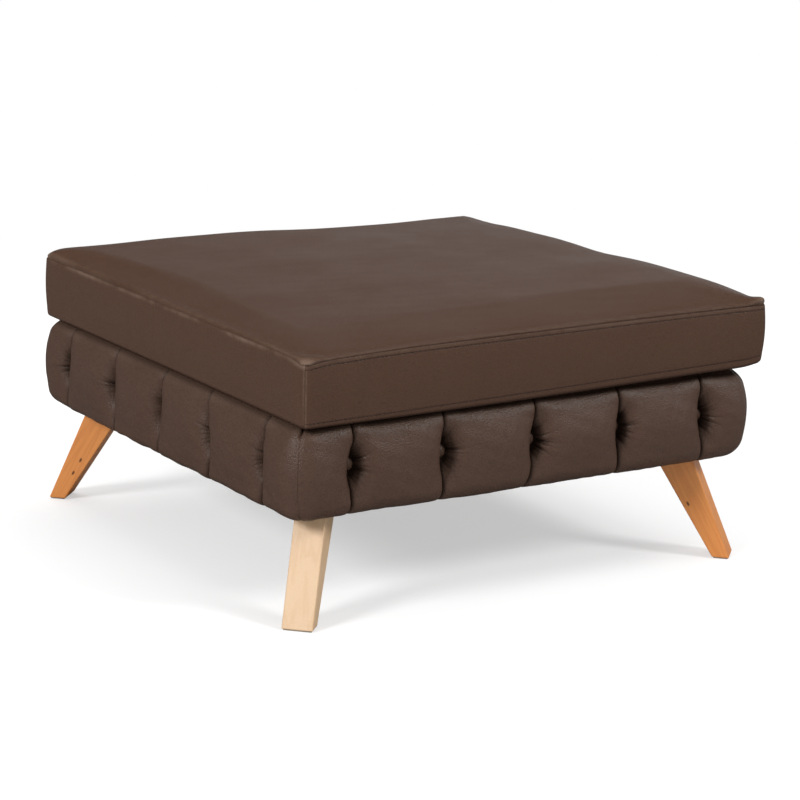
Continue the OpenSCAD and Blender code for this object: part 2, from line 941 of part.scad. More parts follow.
// A round bar under the slider's arch, two arms and a flat tab with an eye
module zip_pull() {
  arm_z = bail_w / 2 + pull_bar_gap;
  color(brass)
    at_cushion()
      translate([slider_rest_x, pull_y, zip_z]) {
        cylinder(r = pull_bar_r, h = 2 * (arm_z + pull_arm), center = true);
        for (z = [-arm_z - pull_arm, arm_z])
          translate([0, -pull_t / 2, z]) cube([pull_clear + pull_arm, pull_t, pull_arm]);
        rotate([90, 0, 0])
          translate([0, 0, -pull_t / 2])
            linear_extrude(pull_t)
              difference() {
                union() {
                  translate([pull_clear, -pull_w / 2])
                    square([pull_len - pull_w / 2 - pull_clear, pull_w]);
                  translate([pull_len - pull_w / 2, 0]) circle(pull_w / 2);
                }
                translate([pull_len - pull_w / 2, 0]) circle(pull_eye_r);
              }
      }
}

front_rail();
back_rail();
left_rail();
right_rail();
middle_rail();
corner_block(0);  // corner_block_front_left
corner_block(1);  // corner_block_front_right
corner_block(2);  // corner_block_back_right
corner_block(3);  // corner_block_back_left
frame_screws();
block_screws();
rail_foam(0);  // front_rail_foam
rail_foam(1);  // right_rail_foam
rail_foam(2);  // back_rail_foam
rail_foam(3);  // left_rail_foam
cover(0);  // front_cover
cover(1);  // right_cover
cover(2);  // back_cover
cover(3);  // left_cover
buttons(0);  // front_buttons
buttons(1);  // right_buttons
buttons(2);  // back_buttons
buttons(3);  // left_buttons
tufting_twine();
twine_washers();
webbing_across();
webbing_front_to_back();
webbing_staples();
deck_foam();
platform_cloth();
dust_cover();
dust_cover_staples();
leg(0);  // front_left_leg
leg(1);  // front_right_leg
leg(2);  // back_right_leg
leg(3);  // back_left_leg
leg_screws();
leg_washers();
foot_pad(0);  // front_left_foot_pad
foot_pad(1);  // front_right_foot_pad
foot_pad(2);  // back_right_foot_pad
foot_pad(3);  // back_left_foot_pad
cushion_foam();
cushion_fibre_wrap();
cushion_top_panel();
cushion_bottom_panel();
border(0);  // cushion_front_border
border(1);  // cushion_right_border
cushion_back_border();
border(3);  // cushion_left_border
zip_tape();
zip_chain();
zip_slider();
zip_pull();
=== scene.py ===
"""Looks of the square upholstered ottoman: buttoned leather base, loose box cushion, beech legs.

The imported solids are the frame. Every soft piece here is a surface worked out with numpy that
stands in the space of its solid. Metres, +Z up, the front faces -Y.
"""

import json
import math

import bmesh
import bpy
import numpy as np
from mathutils import Matrix, Vector


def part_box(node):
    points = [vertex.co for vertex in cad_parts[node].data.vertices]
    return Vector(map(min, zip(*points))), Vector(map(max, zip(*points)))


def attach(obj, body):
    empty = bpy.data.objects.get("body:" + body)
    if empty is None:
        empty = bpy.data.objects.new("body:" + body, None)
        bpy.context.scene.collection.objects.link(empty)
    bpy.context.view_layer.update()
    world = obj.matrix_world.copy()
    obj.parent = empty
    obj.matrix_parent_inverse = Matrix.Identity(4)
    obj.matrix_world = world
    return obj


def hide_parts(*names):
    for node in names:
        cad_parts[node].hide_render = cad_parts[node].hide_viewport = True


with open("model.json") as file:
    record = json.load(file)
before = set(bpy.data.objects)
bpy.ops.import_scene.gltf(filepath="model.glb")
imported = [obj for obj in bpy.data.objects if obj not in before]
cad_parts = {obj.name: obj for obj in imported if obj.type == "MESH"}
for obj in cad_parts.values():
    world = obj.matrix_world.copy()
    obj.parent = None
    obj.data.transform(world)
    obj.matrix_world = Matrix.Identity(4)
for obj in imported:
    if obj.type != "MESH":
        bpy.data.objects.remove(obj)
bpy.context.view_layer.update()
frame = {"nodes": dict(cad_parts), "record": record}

MM = 0.001
SIDES = ("front", "right", "back", "left")
CORNERS = ("front_left", "front_right", "back_right", "back_left")

# Sizes read from the frame
cover_low, cover_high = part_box("front_cover")
BASE_HALF = -cover_low.y
BASE_Z = cover_low.z
BASE_TOP = cover_high.z
rail_low, rail_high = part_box("front_rail")
FRAME_HALF = rail_high.x
RAIL_Z = rail_low.z
RAIL_TOP = rail_high.z
FOAM_HALF = -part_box("front_rail_foam")[0].y
DECK_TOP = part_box("deck_foam")[1].z
button_low, button_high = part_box("front_buttons")
BUTTON_Z = (button_low.z + button_high.z) / 2
BUTTON_R = (button_high.z - button_low.z) / 2
SEAT_HALF = -button_high.y
BUTTON_H = -button_low.y - SEAT_HALF
panel_low, panel_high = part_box("cushion_top_panel")
border_low, border_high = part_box("cushion_front_border")
CUSHION_HALF = (panel_high.x - panel_low.x) / 2
CUSHION_X = (panel_high.x + panel_low.x) / 2
CUSHION_Y = (panel_high.y + panel_low.y) / 2
CUSHION_Z = border_low.z
BORDER_TOP = border_high.z
PANEL_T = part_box("cushion_bottom_panel")[1].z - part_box("cushion_bottom_panel")[0].z
SEAM_Z = BORDER_TOP + PANEL_T
chain_low, chain_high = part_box("zip_chain")
ZIP_HALF = (chain_high.x - chain_low.x) / 2
ZIP_Z = (chain_low.z + chain_high.z) / 2

# The buttons of a side: how many, how far apart and where
TUFTS = 5
FIRST_TUFT = -(button_high.x - BUTTON_R)
TUFT_PITCH = -2 * FIRST_TUFT / (TUFTS - 1)
TUFT_PLACES = FIRST_TUFT + TUFT_PITCH * np.arange(TUFTS)

# Camera: where the photograph was taken from, angles in degrees
CAMERA_AZIMUTH = -32.92
CAMERA_ELEVATION = 14.11
CAMERA_ROLL = math.radians(1.64)
CAMERA_DISTANCE = 4.337
CAMERA_TARGET = Vector((0.0127, -0.0167, 0.2024))
CAMERA_LENS = 126.78
CAMERA_SENSOR = 36.0

# Lamps: azimuth, elevation, strength and width in degrees
LAMPS = {
    "left_softbox": (-80, 30, 2.35, 16),
    "right_softbox": (36, 37, 1.7, 16),
    "back_softbox": (150, 62, 1.32, 50),
}

# The floor's half width, where it starts and ends to fade, how white it is close by, and what
# it gives to soft light and to mirrored rays
FLOOR_HALF = 30.0
FLOOR_NEAR = 0.9
FLOOR_FAR = 2.4
FLOOR_LIFT = 0.5
FLOOR_BOUNCE = (0.66, 0.66, 0.66, 1)
FLOOR_MIRRORED = (0.12, 0.12, 0.12, 1)

# How bright the surroundings are for soft light, overhead and on the left
WORLD_LEVEL = 0.5
CEILING_LEVEL = 0.05
FLANK_LEVEL = 0.1
WHITE = "#ffffff"


# Camera, lamps and nodes


def direction(azimuth, elevation):
    """Unit vector towards a place seen at that azimuth, 0 in front, and elevation, in degrees."""
    around, up = math.radians(azimuth), math.radians(elevation)
    level = math.cos(up)
    return Vector((math.sin(around) * level, -math.cos(around) * level, math.sin(up)))


def placed(name, data):
    """A new object in the scene."""
    thing = bpy.data.objects.new(name, data)
    bpy.context.scene.collection.objects.link(thing)
    return thing


def add_camera():
    """The photograph's camera, rolled a little about its line of sight."""
    back = direction(CAMERA_AZIMUTH, CAMERA_ELEVATION)
    right = (-back).cross(Vector((0, 0, 1))).normalized()
    up = right.cross(-back)
    rolled_right = right * math.cos(CAMERA_ROLL) + up * math.sin(CAMERA_ROLL)
    rolled_up = up * math.cos(CAMERA_ROLL) - right * math.sin(CAMERA_ROLL)
    data = bpy.data.cameras.new("photo_camera")
    data.lens = CAMERA_LENS
    data.sensor_width = CAMERA_SENSOR
    data.clip_end = 100
    camera = placed("photo_camera", data)
    turn = Matrix((rolled_right, rolled_up, back)).transposed().to_4x4()
    camera.matrix_world = Matrix.Translation(CAMERA_TARGET + back * CAMERA_DISTANCE) @ turn
    bpy.context.scene.camera = camera


def add_lamps():
    """Broad lamps far away, so that the floor is lit evenly."""
    for name, (azimuth, elevation, strength, softness) in LAMPS.items():
        data = bpy.data.lights.new(name, "SUN")
        data.energy = strength
        data.angle = math.radians(softness)
        lamp = placed(name, data)
        lamp.rotation_euler = direction(azimuth, elevation).to_track_quat("Z", "Y").to_euler()
    # The last lamp lights the top but isn't mirrored in it: the photo's front slope is dim.
    lamp.visible_glossy = False


def linear(hex_colour):
    """Linear RGBA of an sRGB colour written as a hex string."""
    parts = [int(hex_colour[i : i + 2], 16) / 255 for i in (1, 3, 5)]
    return (*[c / 12.92 if c <= 0.04045 else ((c + 0.055) / 1.055) ** 2.4 for c in parts], 1.0)


def add(tree, kind, inputs=None, **settings):
    """Adds a node. An input, under its name or number, is a value, a hex colour, a socket to
    link, or a node, whose first output in use is linked.
    """
    node = tree.nodes.new("ShaderNode" + kind)
    for key, value in settings.items():
        setattr(node, key, value)
    for key, value in (inputs or {}).items():
        if isinstance(value, bpy.types.Node):
            value = next(socket for socket in value.outputs if socket.enabled)
        if isinstance(value, bpy.types.NodeSocket):
            tree.links.new(value, node.inputs[key])
        else:
            node.inputs[key].default_value = linear(value) if isinstance(value, str) else value
    return node


def new_material(name):
    """An empty node material and its tree."""
    material = bpy.data.materials.new(name)
    material.use_nodes = True
    material.node_tree.nodes.clear()
    return material, material.node_tree


def finish_material(tree, colour, roughness, bump, **constants):
    """Adds a material's shader and output. Constants are set on the shader's own sockets."""
    shader = add(
        tree, "BsdfPrincipled", {"Base Color": colour, "Roughness": roughness, "Normal": bump}
    )
    for key, value in constants.items():
        shader.inputs[key.replace("_", " ")].default_value = value
    add(tree, "OutputMaterial", {"Surface": shader})
    return shader


# Materials: pattern sizes are in millimetres


def leather(name, grain_size, grain_height, fleck_share, gloss, rough):
    """Pigmented cowhide, milled soft: a satin skin of round pebbles between fine lines. It gives
    the eye small broken highlights, slow patches of tone, and paler edges, rubbed and with a
    painted highlight. Painted shade makes it darker and takes its shine away in folds, seams and
    under the cushion.
    """
    material, tree = new_material(name)
    place = add(tree, "TexCoord").outputs["Object"]
    rubbed = add(tree, "Attribute", attribute_name="rubbed").outputs["Fac"]
    tucked = add(tree, "Attribute", attribute_name="tucked").outputs["Fac"]
    grain, height = grain_size * MM, grain_height * MM
    patch = add(tree, "TexNoise", {"Vector": place, "Scale": 1 / (70 * MM), "Detail": 3.0})
    pull = add(tree, "Mapping", {"Vector": place, "Scale": (1.0, 1.0, 5.0)})
    streak = add(tree, "TexNoise", {"Vector": pull, "Scale": 1 / (9 * MM), "Detail": 4.0})
    stir = add(tree, "TexNoise", {"Vector": place, "Scale": 1 / (3 * grain), "Detail": 2.0})
    shift = add(tree, "VectorMath", {0: stir.outputs["Color"], "Scale": 0.7 * grain}, operation="SCALE")
    warped = add(tree, "VectorMath", {0: place, 1: shift}, operation="ADD")
    pebble = add(
        tree, "TexVoronoi", {"Vector": warped, "Scale": 1 / grain, "Smoothness": 0.6},
        feature="SMOOTH_F1",
    )
    pore = add(tree, "TexNoise", {"Vector": place, "Scale": 1 / (0.45 * grain), "Detail": 2.0})
    streaks = add(tree, "MapRange", {"Value": streak, "From Min": 0.45, "From Max": 0.75, "To Max": 0.35})
    lines = add(
        tree, "MapRange", {"Value": pebble, "From Min": 0.45, "From Max": 0.8, "To Max": fleck_share}
    )
    colour = "#48342a"
    # Layers: tone, streaks, grain lines, pale edges that are wear with a painted highlight, and painted
    # shade
    layers = (
        (patch, "#4c372c"), (streaks, "#51402f"), (lines, "#2c211c"), (rubbed, "#8a7566"),
        (tucked, "#19110d"),
    )
    for share, tint in layers:
        colour = add(tree, "Mix", {0: share, 6: colour, 7: tint}, data_type="RGBA")
    shine = add(
        tree, "MapRange",
        {"Value": patch, "From Min": 0.3, "From Max": 0.7, "To Min": rough, "To Max": rough + 0.05},
    )
    bump = add(tree, "Bump", {"Height": pebble, "Strength": 1.0, "Distance": height}, invert=True)
    bump = add(tree, "Bump", {"Height": pore, "Strength": 0.3, "Distance": height, "Normal": bump})
    shader = finish_material(tree, colour, shine, bump, Specular_IOR_Level=gloss)
    # Where shade is painted, the shine is taken away as well.
    sheen = add(tree, "MapRange", {"Value": tucked, "To Min": gloss, "To Max": 0.0})
    tree.links.new(sheen.outputs[0], shader.inputs["Specular IOR Level"])
    return material


# Pin knots, in a leg's own grain coordinates: along, across its taper and through it
PIN_KNOTS = ((1.932, 0.4636, 0.4125), (1.907, 0.4642, 0.4125), (0.552, 0.458, 0.1075))
KNOT_STRETCH = 0.45


def lacquered_beech():
    """Steamed beech under clear satin lacquer: straight grain along the leg, growth rings that
    open into long loops, and short dark ray flecks. The lacquer gives it a soft sheen.
    """
    material, tree = new_material("lacquered_beech")
    along = add(tree, "Attribute", attribute_name="grain").outputs["Vector"]
    ruddy = add(tree, "Attribute", attribute_name="ruddy").outputs["Fac"]
    rings_place = add(tree, "Mapping", {"Vector": along, "Scale": (3.5, 55.0, 38.0)})
    fibre_place = add(tree, "Mapping", {"Vector": along, "Scale": (60.0, 1600.0, 1600.0)})
    fleck_place = add(tree, "Mapping", {"Vector": along, "Scale": (240.0, 1300.0, 1300.0)})
    rings = add(
        tree, "TexNoise", {"Vector": rings_place, "Scale": 1.0, "Detail": 2.0, "Distortion": 0.6}
    )
    turns = add(tree, "Math", {0: rings, 1: 34.0}, operation="MULTIPLY")
    wave = add(tree, "Math", {0: turns}, operation="SINE")
    ringed = add(tree, "MapRange", {"Value": wave, "From Min": 0.0, "From Max": 1.0, "To Max": 0.3})
    fibre = add(tree, "TexNoise", {"Vector": fibre_place, "Scale": 1.0, "Detail": 3.0})
    fleck = add(tree, "TexVoronoi", {"Vector": fleck_place, "Scale": 1.0})
    flecked = add(
        tree, "MapRange", {"Value": fleck, "From Min": 0.28, "From Max": 0.1, "To Max": 0.45}
    )
    knotted = 0.0
    stretched = add(tree, "Mapping", {"Vector": along, "Scale": (KNOT_STRETCH, 1.0, 1.0)})
    for lengthwise, across, through in PIN_KNOTS:
        centre = (KNOT_STRETCH * lengthwise, across, through)
        away = add(tree, "VectorMath", {0: stretched, 1: centre}, operation="DISTANCE")
        knot = add(
            tree, "MapRange", {"Value": away, "From Min": 2.4 * MM, "From Max": 1.0 * MM, "To Max": 0.9}
        )
        knotted = add(tree, "Math", {0: knotted, 1: knot}, operation="MAXIMUM")
    late = add(tree, "Mix", {0: ruddy, 6: "#c09c77", 7: "#b26129"}, data_type="RGBA")
    colour = "#cbaf8e"
    layers = ((ruddy, "#d08440"), (ringed, late), (flecked, "#a8683a"), (knotted, "#4a2412"))
    for share, tint in layers:
        colour = add(tree, "Mix", {0: share, 6: colour, 7: tint}, data_type="RGBA")
    toned = add(
        tree, "Mix", {0: 0.12, 6: colour, 7: fibre.outputs["Color"]}, data_type="RGBA",
        blend_type="SOFT_LIGHT",
    )
    bump = add(tree, "Bump", {"Height": fibre, "Strength": 0.15, "Distance": 0.1 * MM})
    roughness = add(tree, "MapRange", {"Value": fibre, "To Min": 0.3, "To Max": 0.42})
    finish_material(tree, toned, roughness, bump)
    return material


def planed_pine():
    """Planed pine: wide pale boards with yellow-brown lines, dull, because it stays bare."""
    material, tree = new_material("planed_pine")
    place = add(tree, "TexCoord").outputs["Object"]
    grain_place = add(tree, "Mapping", {"Vector": place, "Scale": (9.0, 9.0, 90.0)})
    grain = add(tree, "TexNoise", {"Vector": grain_place, "Scale": 1.0, "Detail": 4.0})
    share = add(tree, "MapRange", {"Value": grain, "From Min": 0.4, "From Max": 0.65})
    colour = add(tree, "Mix", {0: share, 6: "#dcc193", 7: "#b98f58"}, data_type="RGBA")
    bump = add(tree, "Bump", {"Height": grain, "Strength": 0.3, "Distance": 0.3 * MM})
    finish_material(tree, colour, 0.75, bump)
    return material


def speckled(name, dark, light, speck, height, roughness, sheen=0.0):
    """A dull body of cells or matted fibres: foam, wadding or felt. Its specks give a soft,
    lightless surface without any gloss.
    """
    material, tree = new_material(name)
    place = add(tree, "TexCoord").outputs["Object"]
    speck_size = speck * MM
    cells = add(tree, "TexVoronoi", {"Vector": place, "Scale": 1 / speck_size})
    clouds = add(tree, "TexNoise", {"Vector": place, "Scale": 1 / (12 * speck_size), "Detail": 3.0})
    blend = add(tree, "Math", {0: cells, 1: clouds}, operation="MULTIPLY")
    colour = add(tree, "Mix", {0: blend, 6: light, 7: dark}, data_type="RGBA")
    bump = add(tree, "Bump", {"Height": cells, "Strength": 0.6, "Distance": height * MM})
    finish_material(tree, colour, roughness, bump, Sheen_Weight=sheen)
    return material


def woven(name, dark, light, thread, height, turn=0.0):
    """A plain weave: two sets of round threads that cross, drawn at their real spacing. It gives
    the eye a fine dull check.
    """
    material, tree = new_material(name)
    place = add(tree, "TexCoord").outputs["Object"]
    turned = add(tree, "Mapping", {"Vector": place, "Rotation": (0.0, 0.0, turn)})
    spread = add(tree, "SeparateXYZ", {0: turned})
    waves = []
    for axis in ("X", "Y", "Z"):
        phase = {0: spread.outputs[axis], 1: math.pi / (thread * MM)}
        phase = add(tree, "Math", phase, operation="MULTIPLY")
        waves.append(add(tree, "Math", {0: phase}, operation="SINE"))
    crossing = add(tree, "Math", {0: waves[0], 1: waves[1]}, operation="MULTIPLY")
    both = add(tree, "Math", {0: crossing, 1: waves[2]}, operation="ADD")
    share = add(tree, "MapRange", {"Value": both, "From Min": -1.2, "From Max": 1.2})
    colour = add(tree, "Mix", {0: share, 6: dark, 7: light}, data_type="RGBA")
    bump = add(tree, "Bump", {"Height": share, "Strength": 0.7, "Distance": height * MM})
    finish_material(tree, colour, 0.85, bump, Sheen_Weight=0.15)
    return material


def worn_metal(name, colour, dull, grit, low, high):
    """A plated or bare metal with fine handling marks, which break up its reflection."""
    material, tree = new_material(name)
    place = add(tree, "TexCoord").outputs["Object"]
    marks = add(tree, "TexNoise", {"Vector": place, "Scale": 1 / (grit * MM), "Detail": 5.0})
    tone = add(tree, "Mix", {0: marks, 6: colour, 7: dull}, data_type="RGBA")
    roughness = add(tree, "MapRange", {"Value": marks, "To Min": low, "To Max": high})
    bump = add(tree, "Bump", {"Height": marks, "Strength": 0.15, "Distance": 0.05 * MM})
    finish_material(tree, tone, roughness, bump, Metallic=1.0)
    return material


def twisted_thread(name, dark, light, pitch):
    """Bonded polyester thread or waxed twine: plies that turn round each other, with a low shine."""
    material, tree = new_material(name)
    place = add(tree, "TexCoord").outputs["Object"]
    plies = add(
        tree, "TexWave", {"Vector": place, "Scale": 0.32 / (pitch * MM), "Distortion": 0.5},
        bands_direction="DIAGONAL",
    ).outputs["Fac"]
    colour = add(tree, "Mix", {0: plies, 6: dark, 7: light}, data_type="RGBA")
    bump = add(tree, "Bump", {"Height": plies, "Strength": 0.5, "Distance": 0.2 * MM})
    finish_material(tree, colour, 0.55, bump)
    return material


# Each finish: the record's material slot, and its material
FINISHES = {
    "base leather": ("leather", leather("pebbled_leather", 2.1, 0.6, 0.3, 0.28, 0.44)),
    "cushion leather": ("leather", leather("fine_leather", 1.3, 0.4, 0.3, 0.1, 0.3)),
    "beech": ("beech", lacquered_beech()),
    "timber": ("timber", planed_pine()),
    "foam": ("foam", speckled("upholstery_foam", "#cdb878", "#f2e8c4", 1.2, 0.4, 0.95)),
    "fibre": ("fibre", speckled("polyester_wadding", "#dcdad2", "#fbfaf5", 2.5, 0.8, 0.9, 0.3)),
    "felt": ("felt", speckled("wool_felt", "#6f665d", "#978c80", 0.7, 0.3, 0.95, 0.4)),
    "webbing": ("webbing", woven("jute_webbing", "#7d6740", "#b59c6c", 1.6, 0.5)),
    "platform cloth": ("platform_cloth", woven("platform_cloth", "#2c2420", "#43372f", 0.9, 0.2)),
    "black cloth": ("black_cloth", woven("spunbond_dust_cloth", "#161515", "#2b2a2a", 1.1, 0.15, 0.785)),
    "zip tape": ("black_cloth", woven("zip_tape_weave", "#1b1614", "#37302b", 0.7, 0.15)),
    "twine": ("twine", twisted_thread("waxed_twine", "#33271f", "#5a483c", 1.2)),
    "thread": ("leather", twisted_thread("sewing_thread", "#17100c", "#2c211b", 0.5)),
    "steel": ("steel", worn_metal("zinc_plated_steel", "#c4c8cc", "#9a9ea3", 1.5, 0.25, 0.45)),
    "brass": ("zip_brass", worn_metal("antiqued_brass", "#a98f58", "#6d5836", 1.2, 0.28, 0.5)),
}


# Floor and surroundings


def studio_floor():
    """Pale matt floor. Close to the ottoman it takes light and shadow. Further off, what the
    camera sees fades to plain white.
    """
    material, tree = new_material("studio_floor")
    path = add(tree, "LightPath").outputs
    place = add(tree, "TexCoord").outputs["Object"]
    away = add(tree, "VectorMath", {0: place}, operation="LENGTH")
    fade = add(
        tree, "MapRange", {"Value": away, "From Min": FLOOR_NEAR, "From Max": FLOOR_FAR},
        interpolation_type="SMOOTHSTEP",
    )
    lifted = add(tree, "MapRange", {"Value": fade, "To Min": FLOOR_LIFT})
    seen = add(tree, "Math", {0: lifted, 1: path["Is Camera Ray"]}, operation="MULTIPLY")
    bounce = add(
        tree, "Mix", {0: path["Is Glossy Ray"], 6: FLOOR_BOUNCE, 7: FLOOR_MIRRORED}, data_type="RGBA"
    )
    tint = add(tree, "Mix", {0: path["Is Camera Ray"], 6: bounce, 7: WHITE}, data_type="RGBA")
    lit = add(tree, "BsdfDiffuse", {"Color": tint})
    white = add(tree, "Emission", {"Color": WHITE, "Strength": 1.0})
    mixed = add(tree, "MixShader", {0: seen, 1: lit, 2: white})
    add(tree, "OutputMaterial", {"Surface": mixed})
    return material


def add_floor():
    """One large square, which stands by as a stage."""
    mesh = bpy.data.meshes.new("floor")
    corners = [(x * FLOOR_HALF, y * FLOOR_HALF, 0) for x, y in ((-1, -1), (1, -1), (1, 1), (-1, 1))]
    mesh.from_pydata(corners, [], [(0, 1, 2, 3)])
    mesh.materials.append(studio_floor())
    placed("floor", mesh)


def add_world():
    """White surroundings. Mirrored rays meet the same white round the horizon, a dimmer ceiling
    over it and a dimmer wall on the left. Soft light is even all round, but for the part
    behind the ottoman, where both meet the same.
    """
    world = bpy.data.worlds.new("studio")
    world.use_nodes = True
    tree = world.node_tree
    tree.nodes.clear()
    path = add(tree, "LightPath").outputs
    place = add(tree, "TexCoord").outputs["Generated"]
    towards = add(tree, "SeparateXYZ", {0: place}).outputs
    opposite = direction(CAMERA_AZIMUTH + 180, CAMERA_ELEVATION)
    behind = add(tree, "VectorMath", {0: place, 1: opposite}, operation="DOT_PRODUCT")
    far_side = add(tree, "MapRange", {"Value": behind, "From Min": 0.6, "From Max": 0.85})
    ceiling = {"Value": towards["Z"], "From Min": 0.2, "From Max": 0.3}
    ceiling = add(tree, "MapRange", {**ceiling, "To Min": 1.0, "To Max": CEILING_LEVEL})
    flank = {"Value": towards["X"], "From Min": 0.22, "From Max": 0.92}
    flank = add(tree, "MapRange", {**flank, "To Min": FLANK_LEVEL, "To Max": 1.0})
    wall = add(tree, "Math", {0: ceiling, 1: flank}, operation="MULTIPLY")
    walled = add(tree, "Math", {0: path["Is Glossy Ray"], 1: far_side}, operation="MAXIMUM")
    mirrored = add(tree, "Mix", {0: walled, 2: WORLD_LEVEL, 3: wall})
    through = {0: path["Is Camera Ray"], 1: path["Is Transmission Ray"]}
    through = add(tree, "Math", through, operation="MAXIMUM")
    level = add(tree, "Mix", {0: through, 2: mirrored, 3: 1.0})
    light = add(tree, "Background", {"Color": WHITE, "Strength": level})
    add(tree, "OutputWorld", {"Surface": light})
    bpy.context.scene.world = world


# Shapes


def stacked(x, y, z):
    """Points from three arrays that fit together."""
    return np.stack(np.broadcast_arrays(x, y, z), axis=-1)


def bell(way, width):
    """A bell curve: e to the power of -(way / width)^2."""
    return np.exp(-((way / width) ** 2))


def ramp(share):
    """The share, cut off below 0 and above 1."""
    return np.clip(share, 0, 1)


def uneven(across, up, size, seed, waves=6):
    """Smooth unevenness of about -1 to 1: seeded plane waves around one size, added up."""
    chance = np.random.default_rng(seed)
    total = np.zeros(np.broadcast(across, up).shape)
    for _ in range(waves):
        turn = chance.uniform(0, np.pi)
        rate = 2 * np.pi / (size * chance.uniform(0.7, 1.5))
        phase = chance.uniform(0, 2 * np.pi)
        total += np.sin(rate * (across * np.cos(turn) + up * np.sin(turn)) + phase)
    return total / (1.5 * math.sqrt(waves / 2))


def quarter_turned(points, turns):
    """The points turned by quarter turns about the middle, from the front to another side."""
    cos, sin = np.cos(turns * np.pi / 2), np.sin(turns * np.pi / 2)
    return points @ np.array([[cos, -sin, 0], [sin, cos, 0], [0, 0, 1]]).T


def listed(faces):
    """Faces as plain lists, which may differ in their number of corners."""
    return faces if isinstance(faces, list) else faces.tolist()


def joined(shapes):
    """Several shapes as one: their points in a row, and each one's faces numbered on."""
    points, faces, first = [], [], 0
    for own_points, own_faces in shapes:
        points.append(own_points)
        faces += [[number + first for number in face] for face in listed(own_faces)]
        first += len(own_points)
    return np.concatenate(points), faces


def grid_squares(rows, columns):
    """Corner numbers of the squares between rows x columns points, listed row by row. Their
    outer side is the one towards which column step x row step points.
    """
    number = np.arange(rows * columns).reshape(rows, columns)
    corners = [number[:-1, :-1], number[:-1, 1:], number[1:, 1:], number[1:, :-1]]
    return np.stack(corners, axis=-1).reshape(-1, 4)


def ring_squares(rings, around):
    """Corner numbers of the squares between closed rings that lie side by side."""
    number = np.arange(rings * around).reshape(rings, around)
    after = np.roll(number, -1, axis=1)
    return np.stack([number[:-1], number[1:], after[1:], after[:-1]], axis=-1).reshape(-1, 4)


def closed_sheet(outer, inner, keep=None):
    """A skin with a thickness: two grids of the same rows and columns, and walls along every
    edge of the squares that are kept. Returns the points and the corner numbers.
    """
    rows, columns = outer.shape[:2]
    count = rows * columns
    if keep is None:
        keep = np.ones((rows - 1, columns - 1), bool)
    outside = grid_squares(rows, columns)[keep.ravel()]
    number = np.arange(count).reshape(rows, columns)
    below, beside = np.pad(keep, ((1, 1), (0, 0))), np.pad(keep, ((0, 0), (1, 1)))
    left, right = number[:, :-1], number[:, 1:]
    low, high = number[:-1], number[1:]
    starts = [
        (below[1:] & ~below[:-1], right, left),
        (below[:-1] & ~below[1:], left, right),
        (beside[:, :-1] & ~beside[:, 1:], high, low),
        (beside[:, 1:] & ~beside[:, :-1], low, high),
    ]
    walls = [
        np.stack([a[edge], b[edge], b[edge] + count, a[edge] + count], axis=-1)
        for edge, a, b in starts
    ]
    points = np.concatenate([outer.reshape(-1, 3), inner.reshape(-1, 3)])
    return points, np.concatenate([outside, (outside + count)[:, ::-1], *walls])


def swept_body(sections):
    """A body from closed sections side by side: squares between neighbours, and one flat face
    over each end. Each section is listed so that column step x row step points outwards.
    """
    columns, rows = sections.shape[:2]
    last = columns * rows - 1
    ends = [list(range(rows)), list(range(last, last - rows, -1))]
    return sections.reshape(-1, 3), [*ring_squares(columns, rows).tolist(), *ends]


def rounded_box(low, high, radius, step):
    """A box with rounded edges: the faces of a box cut into squares about step wide, each point
    moved to the given distance from the smaller box inside.
    """
    low, high = np.array(low, float), np.array(high, float)
    half = (high - low) / 2
    ticks = []
    for h in half:
        middle = np.linspace(-(h - radius), h - radius, max(int(2 * (h - radius) / step), 1) + 1)
        edge = h - radius + radius * np.array([0.35, 0.7, 1.0])
        ticks.append(np.concatenate([-edge[::-1], middle, edge]))
    sides = []
    for axis in range(3):
        u, v = (axis + 1) % 3, (axis + 2) % 3
        squares = grid_squares(len(ticks[v]), len(ticks[u]))
        for side in (1, -1):
            grid = np.zeros((len(ticks[v]), len(ticks[u]), 3))
            grid[..., u] = ticks[u][None, :]
            grid[..., v] = ticks[v][:, None]
            grid[..., axis] = side * half[axis]
            sides.append((grid.reshape(-1, 3), squares[:, ::side]))
    points, faces = joined(sides)
    core = np.clip(points, -(half - radius), half - radius)
    away = points - core
    points = core + radius * away / np.linalg.norm(away, axis=1, keepdims=True)
    points, back = welded(points + (low + high) / 2, 7)
    return points, back[np.array(faces)]


def welded(points, digits):
    """The points that differ at so many digits, and the number among them of each point."""
    _, first, back = np.unique(
        np.round(points, digits), axis=0, return_index=True, return_inverse=True
    )
    return points[first], back.reshape(-1)


def cut_block(low, high, ease):
    """A small block with its edges and corners cut off: the convex hull of three points at
    each corner of its box.
    """
    low, high = np.array(low, float), np.array(high, float)
    half = (high - low) / 2
    signs = np.array([(x, y, z) for x in (-1, 1) for y in (-1, 1) for z in (-1, 1)])
    points = np.concatenate([signs * (half - ease + ease * axis) for axis in np.eye(3)])
    shape = bmesh.new()
    corners = [shape.verts.new(point) for point in points + (low + high) / 2]
    bmesh.ops.convex_hull(shape, input=corners)
    bmesh.ops.recalc_face_normals(shape, faces=shape.faces[:])
    shape.verts.index_update()
    found = np.array([corner.co[:] for corner in shape.verts])
    faces = np.array([[corner.index for corner in face.verts] for face in shape.faces])
    shape.free()
    return found, faces


def repeated(points, faces, frames, places):
    """Copies of one small shape: frames holds each copy's three axes as rows, places its middle."""
    copies = np.einsum("pk,ckj->cpj", points, frames) + places[:, None, :]
    numbers = faces[None] + len(points) * np.arange(len(places))[:, None, None]
    return copies.reshape(-1, 3), numbers.reshape(-1, faces.shape[1])


def coordinates(mesh):
    """A mesh's points as rows."""
    points = np.zeros(len(mesh.vertices) * 3)
    mesh.vertices.foreach_get("co", points)
    return points.reshape(-1, 3)


